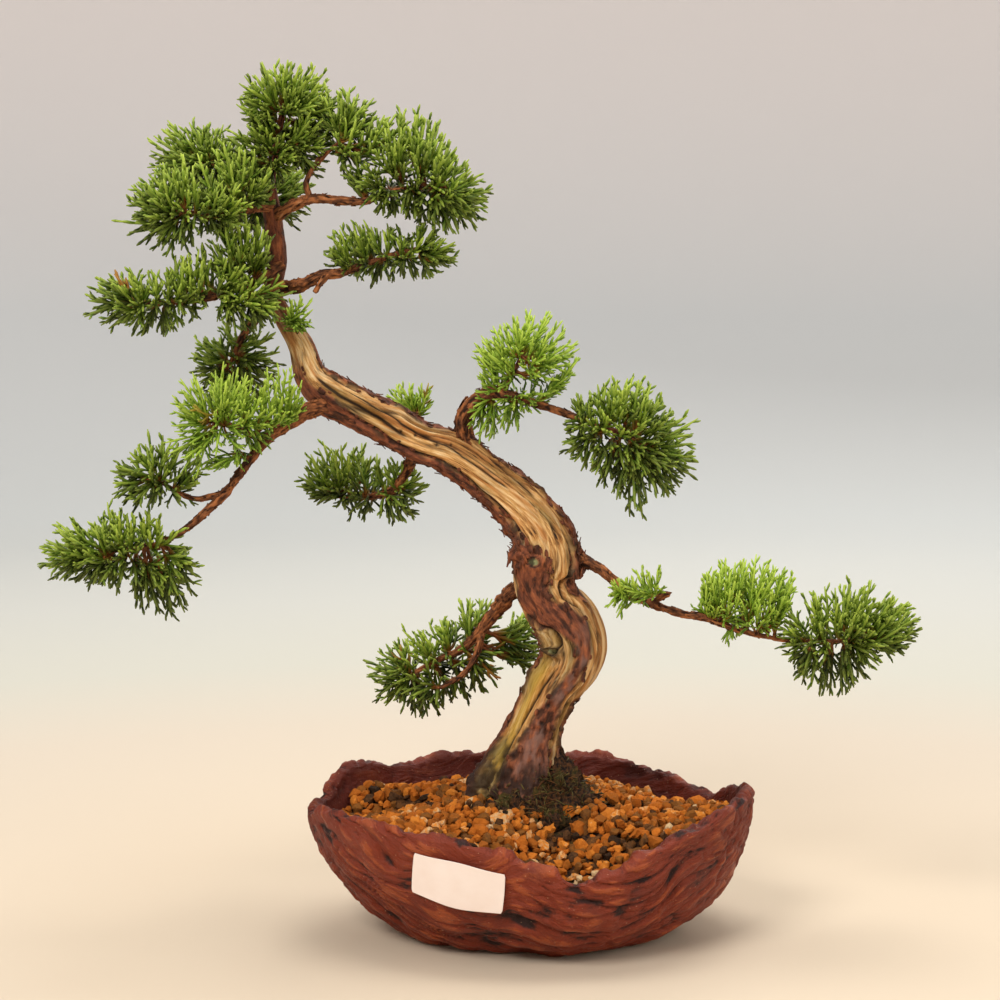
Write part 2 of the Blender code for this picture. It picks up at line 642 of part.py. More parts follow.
def make_branches(trunk_room):
    """Each branch with its twigs, seated on the trunk, and a larger copy that makes room in the foliage.

    The copies come back by name, each with the stations it runs through.
    """
    rooms = [(trunk_room, TRUNK)]
    for name, (limb, *twigs) in BRANCHES.items():
        branch = add_part(name, limb_mesh(name, limb, 8.0), "branch_bark")
        add_wood(branch, f"{name}_twig", twigs, 8.0, 0.0)
        boolean(branch, trunk_room, "DIFFERENCE")
        room = add_cutter(f"{name}_room", limb_mesh(f"{name}_room", limb, 8.0, GAP))
        add_wood(room, f"{name}_room_twig", twigs, 8.0, GAP)
        rooms.append((room, [station for run in (limb, *twigs) for station in run]))
    return rooms


def lobes_mesh(name, lobes):
    """Overlapping ellipsoids, one for each lobe of a cloud of foliage."""
    shape = bmesh.new()
    for x, y, z, a, b, c in lobes:
        made = bmesh.ops.create_icosphere(shape, subdivisions=3, radius=1.0)["verts"]
        for vertex in made:
            vertex.co = Vector((x + a * vertex.co.x, y + b * vertex.co.y, z + c * vertex.co.z)) * MM
    mesh = bpy.data.meshes.new(name)
    shape.to_mesh(mesh)
    shape.free()
    return mesh


def passes_through(stations, lobes):
    """Whether a run of wood comes within reach of any of the lobes."""
    reach = 16.0
    return any(
        all(abs(station[k] - lobe[k]) < lobe[k + 3] + station[3] + reach for k in range(3))
        for station in stations for lobe in lobes
    )


def make_foliage(rooms):
    """Each cloud of foliage: its lobes melted into one solid, with room for the wood that enters it."""
    for name, lobes in FOLIAGE.items():
        cloud = add_part(name, lobes_mesh(name, lobes), "foliage")
        melt = cloud.modifiers.new("melt", "REMESH")
        melt.mode = "VOXEL"
        melt.voxel_size = min(FOLIAGE_VOXEL, 0.7 * min(lobes[0][3:])) * MM
        melt.use_smooth_shade = True
        for room, stations in rooms:
            if passes_through(stations, lobes):
                boolean(cloud, room, "DIFFERENCE")


parts, cutters = clear_scene()
make_bowl()
for side, place in ((-1, "left"), (1, "right")):
    make_drain_mesh(f"drain_mesh_{place}", side * DRAIN_X)
    make_drain_clip(f"drain_clip_{place}", side * DRAIN_X)
trunk_room = make_trunk()
make_ground(trunk_room)
make_label()
make_foliage(make_branches(trunk_room))
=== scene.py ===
"""Looks of a trained juniper bonsai in a hand-carved stoneware bowl.

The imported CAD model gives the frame: metres, +Z up, origin in the middle of the bowl's foot, viewing side
-Y. Sizes here are in millimetres; MM turns them into metres where a mesh is made. Angles round the trunk
count from the viewing side, 90 towards the right of it (or the upper side, where the trunk lies over).
"""

import itertools
import logging
import math
from dataclasses import dataclass, field
from enum import Enum

import bpy
import numpy as np
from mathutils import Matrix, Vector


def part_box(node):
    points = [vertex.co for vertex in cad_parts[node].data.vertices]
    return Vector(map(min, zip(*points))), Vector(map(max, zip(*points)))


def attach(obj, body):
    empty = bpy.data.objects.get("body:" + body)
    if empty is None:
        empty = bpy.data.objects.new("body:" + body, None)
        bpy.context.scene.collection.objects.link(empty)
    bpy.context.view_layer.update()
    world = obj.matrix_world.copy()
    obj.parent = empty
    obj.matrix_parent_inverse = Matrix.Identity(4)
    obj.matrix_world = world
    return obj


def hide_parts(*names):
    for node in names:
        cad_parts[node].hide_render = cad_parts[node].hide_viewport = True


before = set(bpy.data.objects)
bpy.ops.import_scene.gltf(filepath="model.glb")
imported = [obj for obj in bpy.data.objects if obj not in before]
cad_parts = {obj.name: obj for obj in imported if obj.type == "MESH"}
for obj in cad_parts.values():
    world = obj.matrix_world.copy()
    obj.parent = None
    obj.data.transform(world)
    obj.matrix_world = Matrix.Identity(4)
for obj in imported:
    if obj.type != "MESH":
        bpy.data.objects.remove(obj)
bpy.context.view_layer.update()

MM = 0.001
BODY = "root"
MIX_FACTOR, MIX_A, MIX_B, MIX_COLOUR = 0, 6, 7, 2  # sockets of a Mix node set to colour
SCRAMBLE = (73856093, 19349663, 83492791, 40503, 1274126177)  # large odd numbers that hash a lattice point
Array = np.ndarray
FRONT, UP = np.array([0.0, -1.0, 0.0]), np.array([0.0, 0.0, 1.0])
log = logging.getLogger("bonsai")


# ================================================================ numbers
def linear(colour: str) -> tuple[float, float, float, float]:
    """Turns an sRGB hex colour into linear RGBA.

    Args:
        colour: six hex digits after a hash.

    Returns:
        Linear red, green and blue, and an alpha of 1.
    """
    parts = [int(colour[i : i + 2], 16) / 255 for i in (1, 3, 5)]
    return (*(c / 12.92 if c <= 0.04045 else ((c + 0.055) / 1.055) ** 2.4 for c in parts), 1.0)


def ease(low: float, high: float, value: Array) -> Array:
    """The smooth step 3t^2 - 2t^3, where t runs from 0 at low to 1 at high."""
    t = np.clip((value - low) / (high - low), 0.0, 1.0)
    return t * t * (3 - 2 * t)


def unit(vectors: Array) -> Array:
    """Each vector divided by its length."""
    return vectors / np.maximum(np.linalg.norm(vectors, axis=-1, keepdims=True), 1e-9)


def stack(*parts: Array) -> Array:
    """Coordinates broadcast against each other and stacked on a last axis."""
    return np.stack(np.broadcast_arrays(*parts), axis=-1).astype(float)


def value_noise(points: Array, seed: int) -> Array:
    """Smooth noise: each whole-number lattice point has a random value, eased between neighbours.

    Args:
        points: any array whose last axis is x, y, z, in lattice cells.
        seed: picks another set of random values.

    Returns:
        Values from -1 to 1, one for each point.
    """
    cell = np.floor(points).astype(np.int64)
    t = points - cell
    t = t * t * t * (t * (t * 6 - 15) + 10)
    total = np.zeros(points.shape[:-1])
    for corner in itertools.product((0, 1), repeat=3):
        at = cell + np.array(corner)
        mixed = at[..., 0] * SCRAMBLE[0] ^ at[..., 1] * SCRAMBLE[1] ^ at[..., 2] * SCRAMBLE[2]
        mixed = mixed ^ (seed + 1) * SCRAMBLE[3]
        mixed = (mixed ^ (mixed >> 13)) * SCRAMBLE[4]
        value = ((mixed ^ (mixed >> 16)) & 0xFFFF) / 32767.5 - 1
        weight = np.prod(np.where(np.array(corner) == 1, t, 1 - t), axis=-1)
        total += value * weight
    return total


def fractal(points: Array, octaves: int, seed: int) -> Array:
    """The mean of noises, each twice as fine and half as strong as the one before, by their strengths."""
    total, strength = 0.0, 0.0
    for k in range(octaves):
        total = total + value_noise(points * 2.0**k + 17.3 * k, seed + k) * 0.5**k
        strength += 0.5**k
    return total / strength


def creases(points: Array, octaves: int, seed: int, width: float) -> Array:
    """Thin lines, 1 at their middle: the places where a fractal noise passes through zero."""
    return np.exp(-((fractal(points, octaves, seed) / width) ** 2))


# ================================================================ routes
def smooth_route(stations: Array, spacing: float) -> Array:
    """A Catmull-Rom curve through stations, with its points evenly spaced along it.

    Between stations b and c, with neighbours a and d, the curve is
    (2b + (c - a)t + (2a - 5b + 4c - d)t^2 + (3b - a - 3c + d)t^3) / 2.

    Args:
        stations: rows of x, y, z and any further values, in millimetres.
        spacing: distance between the points returned.

    Returns:
        Rows like the stations'.
    """
    knots = np.vstack([2 * stations[0] - stations[1], stations, 2 * stations[-1] - stations[-2]])
    a, b, c, d = (knots[k : len(knots) - 3 + k, None, :] for k in range(4))
    t = np.linspace(0, 1, 24, endpoint=False)[None, :, None]
    square, cube = 2 * a - 5 * b + 4 * c - d, 3 * b - a - 3 * c + d
    dense = 0.5 * (2 * b + (c - a) * t + square * t**2 + cube * t**3)
    dense = np.vstack([dense.reshape(-1, stations.shape[1]), stations[-1]])
    run = np.concatenate([[0], np.cumsum(np.linalg.norm(np.diff(dense[:, :3], axis=0), axis=1))])
    count = max(3, int(round(run[-1] / spacing)) + 1)
    wanted = np.linspace(0, run[-1], count)
    return np.stack([np.interp(wanted, run, column) for column in dense.T], axis=1)


def route_length(route: Array) -> Array:
    """The distance along a route, at each of its points."""
    return np.concatenate([[0], np.cumsum(np.linalg.norm(np.diff(route[:, :3], axis=0), axis=1))])


def cross_frames(centres: Array, reference: Array) -> tuple[Array, Array, Array]:
    """Directions along and across routes.

    Args:
        centres: points of one or more routes, of shape (..., points, 3).
        reference: a direction that the first cross direction follows, of shape (..., 3).

    Returns:
        The tangents, the reference made square to them, and the third direction, tangent x second.
    """
    tangent = unit(np.gradient(centres, axis=-2))
    reference = np.broadcast_to(np.expand_dims(reference, -2), tangent.shape)
    across = unit(reference - tangent * np.sum(reference * tangent, axis=-1, keepdims=True))
    return tangent, across, np.cross(tangent, across)


def bezier(start: Array, middle: Array, end: Array, t: Array) -> Array:
    """The quadratic curve (1-t)^2 start + 2t(1-t) middle + t^2 end, for every t along a new axis."""
    t = t[..., None]
    start, middle, end = start[..., None, :], middle[..., None, :], end[..., None, :]
    return (1 - t) ** 2 * start + 2 * t * (1 - t) * middle + t**2 * end


# ================================================================ meshes
def tube_faces(rings: int, sides: int, tubes: int = 1) -> tuple[Array, Array]:
    """Faces of closed tubes that each hold rings x sides points and then a pole for each end.

    Args:
        rings: rings of each tube.
        sides: points of each ring.
        tubes: how many such tubes follow each other.

    Returns:
        The quads and the triangles, facing outwards when the rings turn right-handed about the route.
    """
    i, j = np.meshgrid(np.arange(rings - 1), np.arange(sides), indexing="ij")
    k = (j + 1) % sides
    low, high = i * sides, (i + 1) * sides
    quads = np.stack([low + j, low + k, high + k, high + j], -1).reshape(-1, 4)
    j = np.arange(sides)
    k = (j + 1) % sides
    first, last = np.full(sides, rings * sides), np.full(sides, rings * sides + 1)
    low = np.stack([first, k, j], -1)
    high = np.stack([last, (rings - 1) * sides + j, (rings - 1) * sides + k], -1)
    steps = (np.arange(tubes) * (rings * sides + 2))[:, None, None]
    return (quads[None] + steps).reshape(-1, 4), (np.vstack([low, high])[None] + steps).reshape(-1, 3)


@dataclass
class Surface:
    """Points, faces and point attributes of a mesh before it is one."""

    points: Array
    quads: Array
    triangles: Array
    attributes: dict[str, Array] = field(default_factory=dict)

    @staticmethod
    def joined(surfaces: list["Surface"]) -> "Surface":
        """One surface that holds all of the given ones, which share their attributes' names."""
        starts = np.cumsum([0] + [len(s.points) for s in surfaces[:-1]])
        return Surface(
            np.vstack([s.points for s in surfaces]),
            np.vstack([s.quads + n for s, n in zip(surfaces, starts)]),
            np.vstack([s.triangles + n for s, n in zip(surfaces, starts)]),
            {key: np.concatenate([s.attributes[key] for s in surfaces]) for key in surfaces[0].attributes},
        )

    def piece(
        self, name: str, material: bpy.types.Material, slot: str, replaces: tuple[str, ...] = (),
        crease: float = math.pi,
    ) -> bpy.types.Object:
        """Makes the mesh object, in metres, and ties it to the frame.

        Args:
            name: the piece's name.
            material: what it is dressed in.
            slot: the record's material slot; not used.
            replaces: the CAD nodes that it stands for.
            crease: edges that bend by more than this angle stay sharp.

        Returns:
            The object.
        """
        mesh = bpy.data.meshes.new(name)
        mesh.vertices.add(len(self.points))
        mesh.vertices.foreach_set("co", (self.points * MM).astype(np.float32).ravel())
        sizes = np.repeat([4, 3], [len(self.quads), len(self.triangles)]).astype(np.int32)
        loops = np.concatenate([self.quads.ravel(), self.triangles.ravel()]).astype(np.int32)
        mesh.loops.add(len(loops))
        mesh.loops.foreach_set("vertex_index", loops)
        mesh.polygons.add(len(sizes))
        mesh.polygons.foreach_set("loop_start", (np.cumsum(sizes) - sizes).astype(np.int32))
        mesh.polygons.foreach_set("loop_total", sizes)
        mesh.update(calc_edges=True)
        mesh.validate()
        mesh.shade_smooth()
        if crease < math.pi:
            mesh.set_sharp_from_angle(angle=crease)
        for key, values in self.attributes.items():
            kind, part = ("FLOAT_VECTOR", "vector") if values.ndim == 2 else ("FLOAT", "value")
            stored = mesh.attributes.new(key, kind, "POINT")
            stored.data.foreach_set(part, values.astype(np.float32).ravel())
        mesh.materials.append(material)
        obj = bpy.data.objects.new(name, mesh)
        bpy.context.scene.collection.objects.link(obj)
        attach(obj, BODY)
        if replaces:
            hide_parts(*replaces)
        log.info("%s: %d triangles", name, 2 * len(self.quads) + len(self.triangles))
        return obj


def tube_surface(rings: Array, attributes: dict[str, Array]) -> Surface:
    """A closed surface over one or more tubes.

    Args:
        rings: ring points of shape (tubes, rings, sides, 3).
        attributes: values of shape (tubes, rings, sides) or (tubes, rings, sides, 3).

    Returns:
        The surface, with a pole in the middle of each end ring.
    """
    tubes, count, sides, _ = rings.shape

    def with_poles(values: Array) -> Array:
        """The ring values of each tube, followed by the mean of its first and of its last ring."""
        tail = values.shape[3:]
        poles = np.stack([values[:, 0].mean(axis=1), values[:, -1].mean(axis=1)], axis=1)
        values = values.reshape(tubes, count * sides, *tail)
        return np.concatenate([values, poles], axis=1).reshape(-1, *tail)

    quads, triangles = tube_faces(count, sides, tubes)
    return Surface(with_poles(rings), quads, triangles, {k: with_poles(v) for k, v in attributes.items()})


# ================================================================ finishes
Socket = bpy.types.NodeSocket
Value = float | tuple[float, ...] | Socket


class Wiring:
    """The node tree of one material while it is put together. A node's methods return its output."""

    def __init__(self, name: str, **sockets: float) -> None:
        """Starts a Principled material.

        Args:
            name: what the finish is.
            sockets: constant values of the shader, with underscores for spaces.
        """
        self.material = bpy.data.materials.new(name)
        self.material.use_nodes = True
        self.tree = self.material.node_tree
        self.shader = self.tree.nodes["Principled BSDF"]
        for socket, value in sockets.items():
            self.shader.inputs[socket.replace("_", " ")].default_value = value

    def node(
        self, kind: str, sockets: dict | None = None, output: int | str = 0, stops: tuple = (),
        **settings: object,
    ) -> Socket:
        """Adds a node with its settings and links.

        Args:
            kind: the node's type, without its ShaderNode prefix.
            sockets: input names or numbers, each with a value or with an output to link from.
            output: the name or number of the output that is wanted.
            stops: for a colour ramp, its positions and sRGB colours.
            settings: the node's own properties.

        Returns:
            The output.
        """
        made = self.tree.nodes.new(f"ShaderNode{kind}")
        for key, value in settings.items():
            setattr(made, key, value)
        for key, value in (sockets or {}).items():
            if isinstance(value, Socket):
                self.tree.links.new(value, made.inputs[key])
            else:
                made.inputs[key].default_value = value
        for k, (position, colour) in enumerate(stops):
            element = made.color_ramp.elements[k] if k < 2 else made.color_ramp.elements.new(position)
            element.position = position
            element.color = linear(colour)
        return made.outputs[output]

    def place(self) -> Socket:
        """The point shaded, in metres."""
        return self.node("TexCoord", output="Object")

    def attribute(self, name: str, output: str = "Fac") -> Socket:
        """A point attribute of the mesh."""
        return self.node("Attribute", output=output, attribute_name=name)

    def stretched(self, vector: Socket, along: float) -> Socket:
        """A vector whose third part, the distance along the wood, is multiplied."""
        return self.node("Mapping", {"Vector": vector, "Scale": (1.0, 1.0, along)}, vector_type="POINT")

    def noise(
        self, vector: Socket, scale: float, detail: float, roughness: float = 0.5, distortion: float = 0.0
    ) -> Socket:
        """A fractal noise about 0.5."""
        sockets = {"Vector": vector, "Scale": scale, "Detail": detail, "Roughness": roughness}
        return self.node("TexNoise", {**sockets, "Distortion": distortion}, "Fac")

    def math(self, operation: str, a: Value, b: Value, c: float = 0.0) -> Socket:
        """One operation on numbers."""
        return self.node("Math", {0: a, 1: b, 2: c}, operation=operation)

    def shifted(self, value: Socket, noise: Socket, size: float) -> Socket:
        """The value with (noise - 0.5) size added."""
        return self.math("ADD", value, self.math("MULTIPLY_ADD", noise, size, -size / 2))

    def remap(self, value: Socket, low: float, high: float, to_low: float, to_high: float) -> Socket:
        """The value taken from one range to another, and kept in it."""
        sockets = {"From Min": low, "From Max": high, "To Min": to_low, "To Max": to_high}
        return self.node("MapRange", {"Value": value, **sockets})

    def ramp(self, value: Socket, *stops: tuple[float, str]) -> Socket:
        """The colour at a value, between stops of position and sRGB colour."""
        return self.node("ValToRGB", {"Fac": value}, "Color", stops)

    def mix(self, factor: Socket, a: Socket, b: Socket | str) -> Socket:
        """The colour a, and by the factor b."""
        b = linear(b) if isinstance(b, str) else b
        return self.node("Mix", {MIX_FACTOR: factor, MIX_A: a, MIX_B: b}, MIX_COLOUR, data_type="RGBA")

    def bump(
        self, height: Socket, strength: float, distance: float, normal: Socket | None = None
    ) -> Socket:
        """A normal bent by a height of so many metres, over another one if given."""
        under = {} if normal is None else {"Normal": normal}
        return self.node("Bump", {"Height": height, "Strength": strength, "Distance": distance, **under})

    def finish(self, **sockets: Socket) -> bpy.types.Material:
        """Links outputs to the shader's inputs and returns the material."""
        for socket, output in sockets.items():
            self.tree.links.new(output, self.shader.inputs[socket.replace("_", " ")])
        return self.material


@dataclass(frozen=True)
class Stoneware:
    """Unglazed red stoneware, carved when leather-hard and rubbed with iron oxide.

    The cuts are painted near black as shade and the ridges lighter orange as highlight, over the red-brown
    body; the oxide darkens random patches, the grit leaves pale specks, and handling gives a patchy dull
    sheen.
    """

    # painted shade: the near-black colour of the cuts
    cut: str = "#260a05"
    body: str = "#7a2b10"
    # painted highlight: the lighter orange of the ridges
    ridge: str = "#9a461e"
    oxide: str = "#4c2a26"
    inside: str = "#50170b"
    grit: str = "#c99a77"
    patch_mm: float = 14.0
    grit_mm: float = 2.2

    def material(self) -> bpy.types.Material:
        """Wires the material, which reads the piece's relief, inside and drawn attributes."""
        w = Wiring("carved_stoneware", Roughness=0.5, IOR=1.5, Specular_IOR_Level=0.34)
        place = w.place()
        patches = w.noise(place, 1 / (self.patch_mm * MM), 5.0)
        fine = w.noise(place, 900.0, 6.0, 0.65)
        strokes = w.noise(w.attribute("drawn", "Vector"), 0.5, 6.0, 0.62)
        height = w.shifted(w.shifted(w.attribute("relief"), strokes, 0.9), fine, 0.34)
        # painted shade in the cuts and painted highlight on the ridges, from the carving's height
        painted_shade_and_highlight = w.ramp(height, (0.3, self.cut), (0.56, self.body), (0.82, self.body), (1.0, self.ridge))
        tinted = w.mix(w.remap(patches, 0.5, 0.72, 0.0, 0.4), painted_shade_and_highlight, self.oxide)
        walls = w.mix(w.math("MULTIPLY", w.attribute("inside"), 0.72), tinted, self.inside)
        specks = w.node("TexVoronoi", {"Vector": place, "Scale": 1 / (self.grit_mm * MM)}, "Distance")
        gritty = w.mix(w.remap(specks, 0.1, 0.06, 0.0, 0.7), walls, self.grit)
        gloss = w.remap(patches, 0.3, 0.7, 0.4, 0.68)
        bump = w.bump(strokes, 1.0, 0.0022, w.bump(fine, 0.7, 0.0006))
        return w.finish(Base_Color=gritty, Roughness=gloss, Normal=bump)


@dataclass(frozen=True)
class Akadama:
    """Baked clay granules: dusty, porous and matt, from orange to grey-brown, each of one tone."""

    tones: tuple = (
        (0.0, "#2c1d10"), (0.12, "#553820"), (0.28, "#80501f"), (0.48, "#9c5618"), (0.7, "#b5641e"),
        (0.9, "#cf802e"), (0.985, "#c9ab80"),
    )

    def material(self) -> bpy.types.Material:
        """Wires the material, which reads each granule's tone attribute."""
        w = Wiring("baked_clay_granules", Roughness=0.92, IOR=1.45, Specular_IOR_Level=0.2)
        dust = w.noise(w.place(), 700.0, 5.0, 0.7)
        colour = w.ramp(w.shifted(w.attribute("tone"), dust, 0.44), *self.tones)
        return w.finish(Base_Color=colour, Normal=w.bump(dust, 0.9, 0.0007))


@dataclass(frozen=True)
class Humus:
    """Damp potting mix and bark crumbs, near black, with flecks of olive moss.

    Under the granules the near black also stands for the shade in the gaps between them: painted shade.
    """

    # near black; on the soil under the granules this is painted shade
    dark: str = "#0f0804"
    brown: str = "#54341a"
    moss: str = "#4c4716"
    crumb_mm: float = 1.2

    def material(self) -> bpy.types.Material:
        """Wires the material, which needs nothing from the piece."""
        w = Wiring("damp_humus_and_painted_shade", Roughness=0.85, IOR=1.4, Specular_IOR_Level=0.35)
        place = w.place()
        crumbs = w.noise(place, 1 / (self.crumb_mm * MM), 6.0)
        mossy = w.remap(w.noise(place, 120.0, 3.0), 0.52, 0.66, 0.0, 0.55)
        colour = w.mix(mossy, w.ramp(crumbs, (0.4, self.dark), (0.66, self.brown)), self.moss)
        return w.finish(Base_Color=colour, Normal=w.bump(crumbs, 0.9, 0.001))


@dataclass(frozen=True)
class OldJuniper:
    """The trunk: bare fibrous wood that has weathered to tan and gold, with strips of living bark.

    The fibres run with the twist of the trunk, the splits between them are almost black, algae tint the damp
    side olive, and the smooth bark near the ground is purple-grey.
    """

    split: str = "#1c0f07"
    fibre_dark: str = "#a5703a"
    fibre: str = "#d6a565"
    fibre_pale: str = "#f0cf9c"
    stain: str = "#b8773a"
    gold: str = "#c7a036"
    bark: str = "#7a4229"
    bark_dark: str = "#3a1b0f"
    bark_red: str = "#a86038"
    smooth_bark: str = "#87685c"
    olive: str = "#66602a"
    cut: str = "#8f9163"
    fibre_mm: float = 0.8

    def material(self) -> bpy.types.Material:
        """Wires the material, which reads the trunk's grain and the masks of its bark, splits and tints."""
        w = Wiring("weathered_juniper_wood", Roughness=0.7, IOR=1.5, Specular_IOR_Level=0.3)
        grain = w.attribute("grain", "Vector")
        drawn = w.stretched(grain, 0.07)
        fibres = w.noise(drawn, 0.8 / self.fibre_mm, 7.0, 0.65)
        streaks = w.noise(drawn, 0.3, 3.0)
        ribbons = w.noise(drawn, 0.42, 4.0, distortion=0.4)
        plates = w.noise(w.stretched(grain, 0.35), 0.55, 6.0, 0.6)
        colour = w.ramp(
            w.shifted(fibres, streaks, 0.6),
            (0.28, self.split), (0.38, self.fibre_dark), (0.5, self.fibre), (0.66, self.fibre_pale),
        )
        colour = w.mix(w.remap(ribbons, 0.48, 0.62, 0.0, 0.75), colour, self.stain)
        bark = w.ramp(plates, (0.32, self.bark_dark), (0.5, self.bark), (0.7, self.bark_red))
        for key, tint, strength in (
            ("gold", self.gold, 0.75), ("olive", self.olive, 0.7), ("bark", bark, 1.0),
            ("plum", self.smooth_bark, 1.0), ("cut", self.cut, 1.0), ("split", self.split, 1.0),
        ):
            colour = w.mix(w.math("MULTIPLY", w.attribute(key), strength), colour, tint)
        return w.finish(Base_Color=colour, Normal=w.bump(w.math("ADD", fibres, plates), 0.9, 0.0009))


@dataclass(frozen=True)
class JuniperBark:
    """Young juniper bark: thin, red-brown and flaking, orange where a flake has just come away."""

    deep: str = "#28140b"
    bark: str = "#74462b"
    fresh: str = "#ad6a3c"
    grey: str = "#ad8765"
    flake_mm: float = 1.4

    def material(self) -> bpy.types.Material:
        """Wires the material, which reads the limb's grain and split attributes."""
        w = Wiring("flaking_juniper_bark", Roughness=0.82, IOR=1.45, Specular_IOR_Level=0.25)
        grain = w.attribute("grain", "Vector")
        flakes = w.noise(w.stretched(grain, 0.3), 1 / self.flake_mm, 6.0, 0.65)
        colour = w.ramp(
            w.shifted(flakes, w.noise(grain, 0.12, 2.0), 0.5),
            (0.3, self.deep), (0.46, self.bark), (0.62, self.fresh), (0.78, self.grey),
        )
        shaded = w.mix(w.attribute("split"), colour, self.deep)
        return w.finish(Base_Color=shaded, Normal=w.bump(flakes, 0.8, 0.0005))


@dataclass(frozen=True)
class ScaleLeaf:
    """Juniper foliage: cords of overlapping scale leaves with a thin wax bloom.

    Cords run from dark olive through deep green to fresh green: older growth and painted shade low in the
    cloud and deep in its sprays, young growth and painted light where sprays face up. Growing tips are
    yellow-green and a few dead ones brown.
    """

    name: str = "juniper_scale_leaf"
    shade: str = "#182903"
    leaf: str = "#47680e"
    fresh: str = "#7a9823"
    tip: str = "#c0cf56"
    stem: str = "#82501f"
    dead: str = "#a0642a"
    scale_mm: float = 1.3

    def material(self) -> bpy.types.Material:
        """Wires the material, which reads the cords' attributes tip, age, stem and dead."""
        w = Wiring(self.name, Roughness=0.52, IOR=1.42, Specular_IOR_Level=0.3)
        scales = w.noise(w.place(), 1 / (self.scale_mm * MM), 3.0)
        # the ramp runs from painted shade to painted light, mixed with older and younger growth
        age = w.shifted(w.attribute("age"), scales, 0.36)
        colour = w.ramp(age, (0.12, self.shade), (0.5, self.leaf), (0.92, self.fresh))
        for key, tint in (("tip", self.tip), ("stem", self.stem), ("dead", self.dead)):
            colour = w.mix(w.attribute(key), colour, tint)
        return w.finish(Base_Color=colour, Normal=w.bump(scales, 0.35, 0.0003))


@dataclass(frozen=True)
class PlainGoods:
    """Small made things: a plain colour broken by fine mottling, as moulded, drawn or rolled stock has."""

    name: str
    colour: str
    other: str
    mottle_mm: float
    roughness: float
    metallic: float = 0.0

    def material(self) -> bpy.types.Material:
        """Wires the material, which needs nothing from the piece."""
        w = Wiring(self.name, Roughness=self.roughness, Metallic=self.metallic)
        mottle = w.noise(w.place(), 1 / (self.mottle_mm * MM), 4.0)
        colour = w.ramp(mottle, (0.3, self.colour), (0.7, self.other))
        return w.finish(Base_Color=colour, Normal=w.bump(mottle, 0.15, 0.0002))


# ================================================================ bowl
RIM_HEIGHTS = np.array([  # direction in degrees from the pointed end, height; 270 is the viewing side
    (0, 59), (12, 57), (28, 51), (38, 53), (50, 57), (70, 61), (90, 57), (110, 61), (130, 59), (150, 62),
    (168, 52), (185, 52), (200, 55), (218, 58), (235, 56), (250, 53), (261, 49), (272, 42), (281, 37),
    (290, 40), (300, 47), (312, 54), (330, 57), (345, 59), (360, 59),
], dtype=float)


